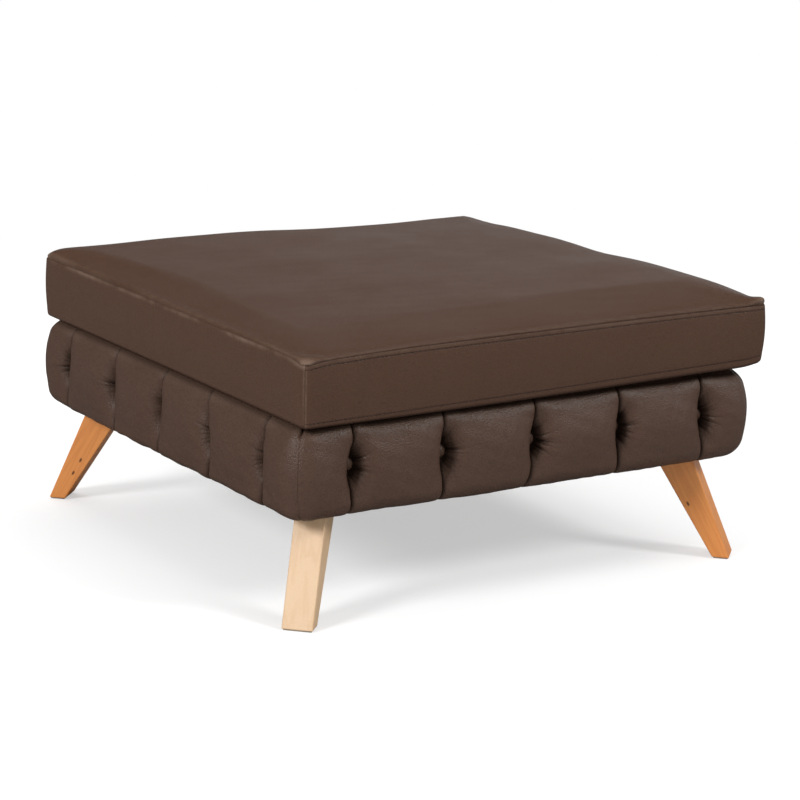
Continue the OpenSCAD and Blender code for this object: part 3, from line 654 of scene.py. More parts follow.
def make_piece(name, shape, finish, body, stands_for=(), sharp=50.0, **attributes):
    """Makes a mesh of points and faces, with its finish and point attributes, on its body."""
    points, faces = shape
    slot, material = FINISHES[finish]
    mesh = bpy.data.meshes.new(name)
    mesh.from_pydata(points.tolist(), [], listed(faces))
    mesh.materials.append(material)
    mesh.shade_smooth()
    mesh.set_sharp_from_angle(angle=math.radians(sharp))
    for key, values in attributes.items():
        values = np.asarray(values, np.float32)
        kind, field = ("FLOAT", "value") if values.ndim == 1 else ("FLOAT_VECTOR", "vector")
        mesh.attributes.new(key, kind, "POINT").data.foreach_set(field, values.ravel())
    piece = placed(name, mesh)
    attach(piece, body)
    if stands_for:
        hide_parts(*stands_for)
    return piece


# Base covers

CORNER_R = 34 * MM
INNER_CORNER_R = 8 * MM
TOP_EDGE_R = 22 * MM

# The rolled lower edge: its radius halfway along each side and at each corner, how far from a
# corner one becomes the other, and how far the edge hangs below its solid
LOW_EDGE_R = (25 * MM, 28 * MM, 28 * MM, 15 * MM)
LOW_CORNER_R = (17 * MM, 28 * MM, 28 * MM, 22 * MM)
LOW_EASE = 60 * MM
LOW_HANG = 2.5 * MM
COVER_LIP_R = 3 * MM
LEATHER_T = 1.4 * MM

# How far in from the fullest outline the turned-in flange ends, the roll under the rail
# starts, and the foam behind the fill begins
FLANGE_IN = BASE_HALF - (FRAME_HALF - 15 * MM)
ROLL_IN = BASE_HALF - (FRAME_HALF + 7 * MM)
FOAM_IN = BASE_HALF - FOAM_HALF
STRAIGHT_HALF = BASE_HALF - CORNER_R
PAD_MID_HALF = (BASE_TOP - BASE_Z) / 2
ARC_LENGTH = CORNER_R * np.pi / 4

# Places beside a pleat, in millimetres from it
PLEAT_STEPS = np.concatenate([
    [0, 0.6, 1.2, 1.9, 2.7, 3.6, 4.6, 5.7, 6.9, 8.2, 9.6],
    np.arange(10.6, 27, 1.0), np.arange(27, 36, 1.8), np.arange(37, 75, 3.4),
])

# How far the leather swells out between pleats, and how far it falls back towards its top
PANEL_SWELL = 9 * MM
SHOULDER = 6 * MM

# On each side: the way the leather laps over its pleats, how much steeper the lapping side of a
# button's funnel is, how much shade is painted on its open side, how deep the gathers are, and
# how much of the cushion's shadow is painted on the leather under it
LAP_WAYS = (1, 1, -1, -1)
LAP_STEEPER = (1.6, 1.8, 1.8, 2.2)
OPEN_SHADE = (1.0, 0.85, 0.85, 0.6)
GATHER_SHARES = (1.0, 1.0, 1.0, 0.5)
TOP_SHADE = (0.8, 0.8, 0.5, 0.4)

# For each pleat of each side, in millimetres: how far the leather laps over it, how far it
# leans from button to top, and how far both ends stand off sideways. Then how deep it is
# against the mean.
LAPS = ((3.5, 4.5, 3.5, 2.5, 4.0), (6, 7, 6, 5, 7), (5, 6, 5, 7, 6), (7, 7, 9, 13, 13))
PLEAT_LEANS = (
    (0.3, -1.0, 4.7, -2.0, -4.6), (-2.0, 1.0, -1.5, 2.0, 1.0), (1.0, -2.5, 0.5, 2.0, -1.0),
    (8.0, 2.0, 9.0, -3.5, 4.8),
)
PLEAT_BOWS = (
    (0.5, 0.0, -4.9, 0.0, 2.0), (2.0, -1.0, 1.0, -2.0, 0.0), (0.0, 1.5, -2.0, 1.0, -1.0),
    (0.0, 0.0, -2.0, -12.0, -7.0),
)
PLEAT_SHARES = (
    (1.0, 1.1, 0.9, 0.85, 1.0), (0.95, 1.05, 0.9, 1.1, 1.0), (1.1, 0.9, 1.0, 0.95, 1.05),
    (0.9, 1.0, 1.1, 1.0, 0.95),
)

# Where a lap is fullest, and the darkest that painted shade makes any leather
LAP_AT = 6.8 * MM
DARKEST = 0.96

# A pleat, in millimetres: depth and width of its crease and of the dip around it, each at the
# base's edges, and then how much more at button height
CREASE_DEPTH = (4.5, 2.0)
CREASE_W = (1.6, 1.6)
DIP_DEPTH = (2.5, 4.0)
DIP_W = (7.0, 6.0)

# A button's funnel and the shade painted in it: half-way radius and steepness
FUNNEL_R = 14.0 * MM
FUNNEL_POWER = 4.6
FUNNEL_SHADE_R = 12.5 * MM
FUNNEL_SHADE_POWER = 7

# A button's gathers: how many, how far round from straight out, then their reach and depth in
# millimetres from least to most, and how much shade is painted in them
GATHERS = 14
GATHER_TURN = 1.4
GATHER_REACH = (3, 10)
GATHER_DEPTH = (1.2, 3.2)
GATHER_SHADE = 0.35

# Depth of the darts that take up the leather at a mitre, above and below, and of the puckers
# beside them, with the way over which each ends. Then slack: depth and size of each wave
TOP_DART = 5.0 * MM
LOW_DART = 2.2 * MM
DART_REACH = 3 * MM
PUCKER = 0.4 * MM
PUCKER_REACH = 16 * MM
PUCKER_PITCH = 9 * MM
SLACK = ((0.9 * MM, 85 * MM, 7), (0.35 * MM, 24 * MM, 17))
SLACK_EASE = 30 * MM


def cover_columns():
    """Places along a cover from mitre to mitre, close together at the pleats. Beyond the
    straight part they run on round the corner.
    """
    near = PLEAT_STEPS * MM
    near = near[near < TUFT_PITCH / 2 - 1 * MM]
    beside = np.concatenate([-near[:0:-1], near])
    columns = (TUFT_PLACES[:, None] + beside).ravel()
    columns = np.concatenate([columns, TUFT_PLACES[:-1] + TUFT_PITCH / 2])
    columns = columns[np.abs(columns) < STRAIGHT_HALF - 1 * MM]
    arc = STRAIGHT_HALF + np.linspace(0, ARC_LENGTH, 15)
    return np.sort(np.concatenate([columns, arc, -arc]))


def mitre_distance(column):
    """The way along a cover to the nearer mitre, round the corner."""
    return ARC_LENGTH + STRAIGHT_HALF - np.abs(column)


def low_radius(column, side):
    """Radius of the rolled lower edge along a side. It eases to a corner's own by a bell curve."""
    corner = np.where(column < 0, LOW_CORNER_R[side], LOW_CORNER_R[(side + 1) % 4])
    near = bell(mitre_distance(column), LOW_EASE)
    return LOW_EDGE_R[side] + (corner - LOW_EDGE_R[side]) * near


def cover_outside(radius):
    """The outside of the padding from under the rails up and over the deck: three arrays, the
    distance inwards from the fullest outline, the height, and the angle of the normal. Radius
    is the rolled lower edge's, one for each section. Edges are quarter circles.
    """
    bottom = BASE_Z - LOW_HANG
    roll = ROLL_IN - COVER_LIP_R
    low = np.radians(np.linspace(-90, 0, 26))
    high = np.radians(np.linspace(0, 90, 17))
    low_wall, high_wall = bottom + radius, BASE_TOP - TOP_EDGE_R
    wall = low_wall + (high_wall - low_wall) * np.linspace(0, 1, 70)[1:-1]
    lip_in = roll + COVER_LIP_R * np.array([1.0, 1.0, 0.7, 0.0])
    lip_up = bottom + COVER_LIP_R * np.array([2.0, 1.0, 0.3, 0.0])
    down, up = -np.pi / 2, np.pi / 2
    stretches = [
        (np.linspace(FLANGE_IN, ROLL_IN, 6)[:-1], RAIL_Z - LEATHER_T, down),
        (lip_in, lip_up, down),
        (roll + (radius - roll) * np.array([1, 2]) / 3, bottom, down),
        (radius * (1 - np.cos(low)), bottom + radius * (1 + np.sin(low)), low),
        (0.0, wall, 0.0),
        (TOP_EDGE_R * (1 - np.cos(high)), high_wall + TOP_EDGE_R * np.sin(high), high),
        (np.linspace(TOP_EDGE_R, FLANGE_IN, 12)[1:], BASE_TOP, up),
    ]
    blocks = [np.broadcast_arrays(*stretch, radius) for stretch in stretches]
    return [np.concatenate([block[k] for block in blocks], axis=1) for k in range(3)]


def tufting(column, height, side):
    """How far the leather is drawn in. Each pleat is a narrow crease in a dip, and each button
    a funnel, drawn out along the pleat. Both are deepest at button height, wide on the side
    that the lap leaves open and steep under the lap. The two are joined by the fourth root of
    the sum of their fourth powers. Gathers are short straight valleys that fan out from a
    button on its open side. Between pleats the leather swells out, most at half height, and
    falls back by a parabola above. Returns the depth and the share of painted shade, along
    the creases, in the funnels and in the gathers.
    """
    chance = np.random.default_rng(40 + side)
    above = height - BUTTON_Z
    level = ramp(np.abs(above) / PAD_MID_HALF)
    rise = ramp((height - BASE_Z) / (BASE_TOP - BASE_Z))
    seat = BASE_HALF - SEAT_HALF
    drawn = np.zeros(np.broadcast(column, height).shape)
    gathers, tucked, swell = drawn.copy(), drawn.copy(), drawn + 1
    for i, middle in enumerate(TUFT_PLACES):
        share = PLEAT_SHARES[side][i]
        off = (column - middle) * LAP_WAYS[side]
        away, opened = np.abs(off), off > 0
        radius = np.hypot(off * np.where(opened, 1.0, LAP_STEEPER[side]), above * 0.5)
        depth, width = ((edge + more * (1 - level)) * MM for edge, more in (CREASE_DEPTH, CREASE_W))
        crease = depth * np.exp(-away / width)
        dip = (DIP_DEPTH[0] + DIP_DEPTH[1] * share * (1 - level**2)) * MM
        width = (DIP_W[0] + DIP_W[1] * (1 - level)) * MM * np.where(opened, 1.1, 0.7)
        dip = dip * np.exp(-((away / width) ** 1.3))
        funnel = seat / (1 + (radius / (FUNNEL_R * share)) ** FUNNEL_POWER)
        drawn += ((crease + dip) ** 4 + funnel**4) ** 0.25
        for _ in range(GATHERS):
            turn = chance.uniform(-GATHER_TURN, GATHER_TURN)
            reach = chance.uniform(*GATHER_REACH) * MM
            deep = chance.uniform(*GATHER_DEPTH) * GATHER_SHARES[side] * MM
            along = off * np.cos(turn) + above * np.sin(turn)
            across = -off * np.sin(turn) + above * np.cos(turn)
            width = 0.8 * MM + 0.025 * np.clip(along, 0, None)
            fade = np.exp(-np.clip(along - BUTTON_R * 1.8, 0, None) / reach)
            valley = ramp((along - BUTTON_R * 0.8) / (4 * MM)) * fade * bell(across, width)
            gathers += deep * valley
            # Painted shade along the gather's valley.
            tucked += GATHER_SHADE * valley
        # Painted shade along the crease, wider on the open side, and down in the funnel.
        dark_w = (1.9 + np.where(opened, 0.35 * LAPS[side][i], 0)) * MM
        tucked += DARKEST * bell(away, dark_w) * (0.8 + 0.2 * (1 - level))
        funnel_shade = 1 / (1 + (radius / FUNNEL_SHADE_R) ** FUNNEL_SHADE_POWER)
        tucked += 1.15 * np.where(opened, OPEN_SHADE[side], 1) * funnel_shade
        swell *= 1 - bell(away, 26 * MM)
    shoulder = SHOULDER * ramp((rise - 0.55) / 0.45) ** 2
    swell = swell * (PANEL_SWELL * np.sin(np.pi * rise) ** 1.2 - shoulder)
    return np.minimum(drawn + gathers, seat) - swell, np.clip(tucked, 0, DARKEST)


def leaning(column, height, side):
    """The column moved sideways with the pleats, which lean, bow and wander a little. Beside
    each crease, the leather on one side laps over it: x e^(1 - x), with x the way from the
    crease.
    """
    shift = np.zeros(np.broadcast(column, height).shape)
    rise = (height - BUTTON_Z) / PAD_MID_HALF
    for i, middle in enumerate(TUFT_PLACES):
        near = ramp(1 - np.abs(column - middle) / min(TUFT_PITCH, STRAIGHT_HALF - abs(middle)))
        wander = 0.9 * np.sin(4.2 * rise + 2.1 * i + side) - 0.9 * np.sin(2.1 * i + side)
        shift += near * (PLEAT_LEANS[side][i] * rise + PLEAT_BOWS[side][i] * rise**2 + wander) * MM
        lap_at = LAP_AT * max(LAPS[side][i] / 7, 1)
        lap = np.clip((middle - column) * LAP_WAYS[side] / lap_at, 0, None)
        lap = LAPS[side][i] * MM * lap * np.exp(1 - lap)
        shift += LAP_WAYS[side] * lap * ramp(1.3 - np.abs(rise))
    return column + shift


def cover_point(column, inwards, height):
    """The point of the front cover at a place along it. Corners keep a smaller radius inside."""
    radius = np.maximum(CORNER_R - inwards, INNER_CORNER_R)
    straight = BASE_HALF - inwards - radius
    share = np.clip(column / STRAIGHT_HALF, -1, 1)
    angle = np.sign(column) * np.clip(np.abs(column) - STRAIGHT_HALF, 0, None) / CORNER_R
    return stacked(share * straight + radius * np.sin(angle), -straight - radius * np.cos(angle), height)


def cover_sections(side):
    """All sections of one cover, with the share of each point that has painted shade, and the
    share that is rubbed and has a painted highlight. Each section runs up the outside and then
    down the lining, which nothing shows.
    """
    column = cover_columns()[:, None]
    inwards, heights, angles = cover_outside(low_radius(column, side))
    out, up = np.cos(angles), np.sin(angles)
    depth, tucked = tufting(column, heights, side)
    from_mitre = mitre_distance(column)
    pucker = PUCKER * np.exp(-from_mitre / PUCKER_REACH) * ramp(from_mitre / DART_REACH)
    pucker = pucker * np.cos(2 * np.pi * from_mitre / PUCKER_PITCH)
    dart = np.exp(-from_mitre / DART_REACH)
    darts = (TOP_DART * dart + pucker) * ramp(up) + LOW_DART * dart * ramp(-up)
    loose = sum(deep * uneven(column, heights, size, seed + side) for deep, size, seed in SLACK)
    loose = loose * ramp(from_mitre / SLACK_EASE)
    share = np.where(angles < 0, 0.2 + 0.8 * out, out)
    drawn = depth * share + darts - loose * (0.4 + 0.6 * out)
    outside_in = np.where(inwards >= FLANGE_IN - 1e-6, inwards, inwards + drawn * out)
    outside_z = np.where(inwards > ROLL_IN, heights, heights - drawn * up)
    outside_z = np.minimum(outside_z, BASE_TOP)
    outside = cover_point(leaning(column, heights, side), outside_in, outside_z)
    back_in = np.array([FLANGE_IN, FOAM_IN, FOAM_IN, FLANGE_IN])
    back_z = np.array([DECK_TOP, DECK_TOP, RAIL_Z, RAIL_Z])
    lining = cover_point(column, back_in, back_z)
    # Painted shade down in each dart, and the cushion's shadow painted on the leather under it.
    dart_shade = 0.8 * np.exp(-from_mitre / (1.5 * MM)) * np.abs(up) * (inwards < CORNER_R)
    painted_cushion_shadow = TOP_SHADE[side] * bell(angles - np.radians(58), np.radians(18))
    tucked = np.clip(tucked * share + dart_shade + painted_cushion_shadow, 0, DARKEST)
    # Paler just under the top: wear together with a painted highlight on the upper roll.
    rubbed = 0.12 * bell(heights - BASE_TOP + 7 * MM, 7 * MM) * (inwards < TOP_EDGE_R)
    blank = np.zeros(lining.shape[:2])
    shares = (np.concatenate([values, blank], axis=1).ravel() for values in (tucked, rubbed))
    return np.concatenate([outside, lining], axis=1), *shares


def add_covers():
    """The four covers with the fill behind them."""
    for side, name in enumerate(SIDES):
        sections, tucked, rubbed = cover_sections(side)
        cover = make_piece(
            f"{name}_tufted_cover", swept_body(quarter_turned(sections, side)), "base leather",
            "base", [f"{name}_cover"], tucked=tucked, rubbed=rubbed,
        )


# A covered button's outline as shares of its radius and height, with 1 where its straight edge
# ends and 2 at its top, and how much shade is painted on it, down in its funnel
BUTTON_OUTLINE = (
    (0.55, -0.2), (0.94, 0.0), (1.0, 0.35), (1.0, 0.8), (0.97, 1.05), (0.88, 1.3), (0.7, 1.62),
    (0.48, 1.84), (0.25, 1.96), (0.0, 2.0),
)
BUTTON_EDGE = 2.5 * MM
BUTTON_TURNS = 40
BUTTON_TILT = 0.12
BUTTON_SHADE = 0.3

# Two sets of folds round a button: depth, level at which they end, and how many
BUTTON_FOLDS = ((0.03, 1.3, 10), (0.012, 1.8, 17))


def button_shape(seed):
    """A covered button: a dome on a short straight edge, turned in behind. Small folds round
    the rim grow towards the back, where the leather is gathered.
    """
    radius, level = np.array(BUTTON_OUTLINE).T[:, :, None]
    height = np.where(level < 1, level * BUTTON_EDGE, BUTTON_EDGE + (level - 1) * (BUTTON_H - BUTTON_EDGE))
    angle = np.linspace(0, 2 * np.pi, BUTTON_TURNS, endpoint=False)[None, :]
    folds = sum(
        deep * ramp(end - level) * np.sin(count * angle + k * seed)
        for k, (deep, end, count) in enumerate(BUTTON_FOLDS, 1)
    )
    radius = BUTTON_R * radius * (1 + folds)
    rings = stacked(radius * np.cos(angle), -height, radius * np.sin(angle))
    squares = ring_squares(len(BUTTON_OUTLINE), BUTTON_TURNS)[:, [0, 3, 2, 1]]
    top = (len(BUTTON_OUTLINE) - 1) * BUTTON_TURNS
    faces = [list(dict.fromkeys(face)) for face in np.minimum(squares, top).tolist()]
    faces.append(list(range(BUTTON_TURNS))[::-1])
    return rings.reshape(-1, 3)[: top + 1], faces


def add_buttons():
    """Five covered buttons to a side, each folded and tilted its own way."""
    for side, name in enumerate(SIDES):
        chance = np.random.default_rng(90 + side)
        buttons = []
        for middle in TUFT_PLACES:
            points, faces = button_shape(chance.uniform(0, 6))
            tilt = chance.uniform(-BUTTON_TILT, BUTTON_TILT, 2)
            points[:, 1] -= tilt[0] * points[:, 0] + tilt[1] * points[:, 2]
            buttons.append((points + [middle, -SEAT_HALF, BUTTON_Z], faces))
        points, faces = joined(buttons)
        # The buttons are darker all over: shade painted for their place down in the funnels.
        make_piece(
            f"{name}_covered_buttons", (quarter_turned(points, side), faces), "base leather",
            "base", [f"{name}_buttons"], tucked=np.full(len(points), BUTTON_SHADE),
        )


# Cushion: its middle is at the cushion's own place until the last step of each piece

CUSHION_CORNER_R = 12 * MM
BORDER_FILL = 10 * MM
BORDER_T = 7.7 * MM
BORDER_TAPER = 2 * MM
BORDER_FOOT_R = 6 * MM

# The top: its low crown, how far its edges roll up, over what width at the right, left and
# back edges, the width of the front slope at the left and right, and the twist
CROWN = 8 * MM
CROWN_POWER = 2.2
EDGE_ROLL = 13 * MM
ROLL_WIDTHS = (20 * MM, 12 * MM, 12 * MM)
SLOPE_WIDTHS = (200 * MM, 120 * MM)
SLOPE_SHARE = 0.8
TWIST = 4 * MM

# Where the filling stands up: place across and back from the middle, rise and reach
PUFFS = (
    (0.36, 0.13, 7.5 * MM, 150 * MM),
    (0.36, -0.15, 7.0 * MM, 130 * MM),
    (-0.08, 0.37, 4.0 * MM, 130 * MM),
    (-0.22, 0.37, 1.5 * MM, 100 * MM),
)

# Unevenness of the top, each with its depth and its size: slack that starts some way in from
# the seams, a fine ripple drawn out from left to right, and gathers along the seams
TOP_SLACK = (0.5 * MM, 210 * MM)
SLACK_IN = 12 * MM
TOP_RIPPLE = (0.05 * MM, 42 * MM)
RIPPLE_STRETCH = 0.45
TOP_GATHER = (0.3 * MM, 11 * MM)
TOP_GATHER_REACH = 6 * MM

# Unevenness of the borders: size and reach of the gathers below the seam, size of the soft
# wrinkles, where they are deepest and over what width, slack, and the tuck at each end
BORDER_GATHER = (12 * MM, 9 * MM)
WRINKLE_SIZE = 44 * MM
WRINKLE_AT = (100 * MM, 60 * MM)
BORDER_SLACK = (0.7 * MM, 160 * MM)
END_TUCK = (0.5 * MM, 1.5 * MM)

# Wear together with a painted highlight along the edges: the mean share, then the strength and
# size of its long stretches and small patches, and its least and most. Then the rubbed and
# painted bands: how far from the edge they lie, and their width
WEAR_AND_HIGHLIGHT_MEAN = 0.6
WEAR_AND_HIGHLIGHT_LONG = (0.5, 170 * MM)
WEAR_AND_HIGHLIGHT_PATCH = (0.25, 21 * MM)
WEAR_AND_HIGHLIGHT_RANGE = (0.1, 1.4)
TOP_RUB_AND_HIGHLIGHT = (2.5 * MM, 3.5 * MM)
CORNER_RUB_AND_HIGHLIGHT = (8 * MM, 9 * MM)
BORDER_RUB_AND_HIGHLIGHT = (2.2 * MM, 3.2 * MM)
END_RUB_AND_HIGHLIGHT = (1.5 * MM, 1.2 * MM)

# How the cushion lies: how far and how wide its right front corner stands up, how much rounder
# that one is below, how far its left front corner is drawn down, how full its front is, and
# how far the fullness stays away from the two corners
STAND_UP = (6.5 * MM, 330 * MM)
ROUND_BELOW = (5 * MM, 24 * MM)
DRAW_DOWN = (5 * MM, 26 * MM)
FRONT_FULL = (4.5 * MM, 90 * MM)
FULL_FROM = (120 * MM, 250 * MM)

# A knob of filling at each corner: rise, its way in from the corner, its reach, and how far in
# from the seam it is full
CORNER_PUFFS = {
    (-1, -1): (4.5 * MM, 17 * MM, 17 * MM, 12 * MM),
    (1, -1): (7.0 * MM, 8 * MM, 18 * MM, 5 * MM),
    (1, 1): (0.5 * MM, 18 * MM, 18 * MM, 14 * MM),
    (-1, 1): (2.0 * MM, 28 * MM, 20 * MM, 14 * MM),
}

# How far the borders swell out at each corner, front left first. On each side: how deep the
# gathers and the wrinkles are, in millimetres, how worn the seam is together with its painted
# highlight, and how much shade is painted in it
BORDER_PUFFS = (1.2 * MM, 3.5 * MM, 1.2 * MM, 2.5 * MM)
GATHER_DEPTHS = (0.25, 0.4, 0.3, 0.35)
WRINKLE_DEPTHS = (0.75, 0.25, 0.4, 0.15)
SEAM_WEAR_AND_HIGHLIGHT = (0.1, 0.26, 0.2, 0.24)
SEAM_SHADE = (0.7, 0.15, 0.7, 0.15)

# Rows of top stitching under the seam and above the foot, on the front and the back. The
# lower one is tilted: how much from its middle to an end, and over what width of leather. Each
# lies in a groove, which rows of points close by draw.
STITCHED_SIDES = (0, 2)
STITCH_ROWS = (SEAM_Z - 6.5 * MM, CUSHION_Z + 11 * MM)
STITCH_PITCH = 7.0 * MM
STITCH_LENGTH = 4.6 * MM
STITCH_R = 0.5 * MM
ROW_TILT = 3 * MM
ROW_TILT_W = 5.5 * MM
GROOVE_DEPTH = 0.45 * MM
GROOVE_W = 0.8 * MM
GROOVE_STEPS = MM * np.array([-1.8, -1.1, -0.5, 0, 0.5, 1.1, 1.8])

# How far the leather is tucked in at the seam, the height of the roll under it, how far a side
# bows inwards, and the foot and top of a border's wall
SEAM_TUCK = 1.4 * MM
SEAM_ROLL = 3 * MM
DRAW_IN = 2 * MM
WALL_FOOT = CUSHION_Z + BORDER_FOOT_R
WALL_TOP = SEAM_Z - SEAM_ROLL

# The zip's opening in the back border: its half height, the roll of its lips, how they are
# drawn, and how far round them the border lies still
ZIP_SIDE = 2
ZIP_GAP_HALF = 6.5 * MM
LIP_R = 2.5 * MM
LIP_STEPS = LIP_R * np.array([0, 0.15, 0.5, 1])
ZIP_CALM = 25 * MM
TOOTH_PITCH = 2.6 * MM
TOOTH_HALF = 0.575 * MM
TOOTH_EASE = 0.25 * MM

# Half a tooth's height and its way off the middle, as shares of the chain's height
TOOTH_SHARE = 0.31
TOOTH_OFF = 0.19

# The cords woven into the tape: their height, half width and way off the middle
CORD_H = 0.25 * MM
CORD_HALF = 0.7 * MM
CORD_OFF = 3.4 * MM

# How the cover settles as cloth: its grid, frames, the most it may move and the solver's values
SETTLE_CELLS = 64
SETTLE_LEVELS = 8
SETTLE_FRAMES = 20
SETTLE_CAP = 4 * MM
SETTLE_VALUES = {
    "quality": 6, "mass": 0.4, "tension_stiffness": 40, "compression_stiffness": 40,
    "shear_stiffness": 20, "bending_stiffness": 4.0, "shrink_min": -0.0004,
    "use_pressure": True, "uniform_pressure_force": 2.0, "vertex_group_mass": "held",
}


def plan(a, b):
    """Where (a, b), each from -1 to 1, lies on the cushion's rounded square. In the corner
    squares the outline is bent to an arc: x sqrt(1 - y^2 / 2), and y the same way.
    """
    reach = CUSHION_HALF - CUSHION_CORNER_R
    x, y = a * CUSHION_HALF, b * CUSHION_HALF
    over_x, over_y = (np.clip(np.abs(way) - reach, 0, None) / CUSHION_CORNER_R for way in (x, y))
    bent_x = reach + CUSHION_CORNER_R * over_x * np.sqrt(1 - over_y**2 / 2)
    bent_y = reach + CUSHION_CORNER_R * over_y * np.sqrt(1 - over_x**2 / 2)
    return np.where(over_x > 0, np.sign(x) * bent_x, x), np.where(over_y > 0, np.sign(y) * bent_y, y)


def drawn_in(a):
    """How far a side bows inwards at its middle."""
    return DRAW_IN * (1 - a**2)


def from_rim(a, b):
    """The way in from the nearest edge of the cushion."""
    return CUSHION_HALF * (1 - np.maximum(np.abs(a), np.abs(b)))


def crown_share(a, b):
    """How far the low crown has risen at (a, b), by a power curve each way."""
    return (1 - np.abs(a) ** CROWN_POWER) * (1 - np.abs(b) ** CROWN_POWER)


def crown_height(a, b):
    """Height of the top panel over its seam. It is a twisted edge roll with bell curves for the
    fuller places, times a share for each edge, with d the way in and w a width: at the left,
    right and back sqrt(1 - e^(-d / w)), and at the front a long slope, 1 - (1 - d / w)^2, with
    a small part that rolls up at once. A low crown is added, and a knob at each corner.
    """
    x, y = a * CUSHION_HALF, b * CUSHION_HALF
    from_sides = CUSHION_HALF * np.stack(np.broadcast_arrays(1 + a, 1 - a, 1 - b))
    widths = np.array(ROLL_WIDTHS).reshape(3, *[1] * (from_sides.ndim - 1))
    rolls = np.sqrt(1 - np.exp(-from_sides / widths))
    slope_w = SLOPE_WIDTHS[0] + (SLOPE_WIDTHS[1] - SLOPE_WIDTHS[0]) * (1 + a) / 2
    from_front = CUSHION_HALF * (1 + b)
    slope = SLOPE_SHARE * (1 - ramp(1 - from_front / slope_w) ** 2)
    slope = slope + (1 - SLOPE_SHARE) * np.sqrt(1 - np.exp(-from_front / (3 * MM)))
    rise = EDGE_ROLL - TWIST * a * b
    for across, back, more, reach in PUFFS:
        rise = rise + more * np.exp(-(((x - across) ** 2 + (y - back) ** 2) / reach**2))
    height = rise * rolls.prod(axis=0) * slope + CROWN * crown_share(a, b)
    for (right, back), (more, way_in, reach, edge_w) in CORNER_PUFFS.items():
        from_corner = np.hypot(1 - a * right, 1 - b * back) * CUSHION_HALF
        pinned = np.sqrt(1 - (1 - ramp(from_rim(a, b) / edge_w)) ** 2)
        height = height + more * pinned * bell(from_corner - way_in, reach)
    return height


def panel_surface(a, b):
    """The top panel's outside at (a, b): crowned, a little loose, and gathered at its seams."""
    x, y = plan(a, b)
    x = x * (1 - drawn_in(b) / CUSHION_HALF * np.abs(a) ** 3)
    y = y * (1 - drawn_in(a) / CUSHION_HALF * np.abs(b) ** 3)
    from_edge = from_rim(a, b)
    scale = 1 - SEAM_TUCK * np.exp(-from_edge / (1.2 * MM)) / CUSHION_HALF
    inside = ramp(from_edge / SLACK_IN)
    z = SEAM_Z + crown_height(a, b) + TOP_SLACK[0] * inside * uneven(x, y, TOP_SLACK[1], 3)
    z = z + TOP_RIPPLE[0] * inside * uneven(x * RIPPLE_STRETCH, y, TOP_RIPPLE[1], 5)
    along = np.where(np.abs(a) > np.abs(b), y, x)
    gather = np.abs(uneven(along, 0 * along, TOP_GATHER[1], 11)) * np.exp(-from_edge / TOP_GATHER_REACH)
    z = z - TOP_GATHER[0] * gather * ramp(from_edge / (2 * MM))
    return stacked(x * scale, y * scale, z)


def border_profile():
    """A border's outside from its foot up: distance inwards, height and angle of the normal."""
    foot = np.radians(np.linspace(90, 0, 10))
    wall = np.linspace(WALL_FOOT, WALL_TOP, 38)[1:]
    grooves = (np.array(STITCH_ROWS)[:, None] + GROOVE_STEPS).ravel()
    wall = wall[np.abs(wall[:, None] - grooves).min(axis=1) > 0.9 * MM]
    wall = np.sort(np.concatenate([wall, grooves]))
    rise = (wall - WALL_FOOT) / (WALL_TOP - WALL_FOOT)
    roll = np.linspace(0, 1, 5)[1:]
    foot_in = BORDER_TAPER + BORDER_FOOT_R * (1 - np.cos(foot))
    roll_in = SEAM_TUCK * (1 - np.sqrt(1 - roll**2))
    foot_z = CUSHION_Z + BORDER_FOOT_R * (1 - np.sin(foot))
    inwards = np.concatenate([foot_in, BORDER_TAPER * (1 - rise), roll_in])
    heights = np.concatenate([foot_z, wall, WALL_TOP + SEAM_ROLL * roll])
    return inwards, heights, np.concatenate([-foot, np.zeros(len(wall) + len(roll))])


def height_share(heights):
    """Heights as shares of the way from the cushion's foot to its seam."""
    return (heights - CUSHION_Z) / (SEAM_Z - CUSHION_Z)


def corner_angle(a):
    """Direction of a border's outside: 0 along its straight part, 45 degrees at its ends."""
    past = (np.abs(a) * CUSHION_HALF - CUSHION_HALF + CUSHION_CORNER_R) / CUSHION_CORNER_R
    return np.sign(a) * np.arcsin(ramp(past) / math.sqrt(2))


def border_surface(settled, side, shares, inwards, rows, angles):
    """A border's outside at shares along it and rows up it, settled: slightly puffed between
    foot and seam, with gathers that run down from the seam, long soft wrinkles and a tuck at
    each end, where it is sewn to the next one.
    """
    a, heights, out = shares[None, :], rows[:, None], np.cos(angles)[:, None]
    x, y = plan(a, -np.ones_like(a))
    angle = corner_angle(a)
    along, from_end, from_seam = a * CUSHION_HALF, from_rim(a, 0), SEAM_Z - heights
    bulge = np.sin(np.pi * ramp(height_share(heights)))
    puff = BORDER_PUFFS[side] * (1 - a) / 2 + BORDER_PUFFS[(side + 1) % 4] * (1 + a) / 2
    gather = np.abs(uneven(along, 0 * along, BORDER_GATHER[0], 31 + side))
    gather = gather * np.exp(-from_seam / BORDER_GATHER[1])
    gather = GATHER_DEPTHS[side] * MM * gather * ramp(from_seam / (3 * MM))
    wrinkle = uneven(along, 0.3 * heights, WRINKLE_SIZE, 51 + side, 5)
    wrinkle = wrinkle * (0.25 + bell(from_end - WRINKLE_AT[0], WRINKLE_AT[1]))
    wrinkle = wrinkle * ramp(from_end / (20 * MM))
    wave = BORDER_SLACK[0] * uneven(along, heights, BORDER_SLACK[1], 61 + side)
    wave = wave * ramp(from_end / (25 * MM))
    swell = puff * bulge + (WRINKLE_DEPTHS[side] * MM * wrinkle + wave) * bulge**0.5
    swell = swell - gather - END_TUCK[0] * np.exp(-from_end / END_TUCK[1])
    for row in STITCH_ROWS if side in STITCHED_SIDES else ():
        swell = swell - GROOVE_DEPTH * bell(heights - row, GROOVE_W)
    into = inwards - swell * out
    tilt = ROW_TILT * a * bell(heights - STITCH_ROWS[1], ROW_TILT_W)
    y = y + into * np.cos(angle) + drawn_in(a) * ramp(out)
    points = stacked(x - into * np.sin(angle), y, heights + tilt)
    return points + border_moves(settled, side, shares, rows)


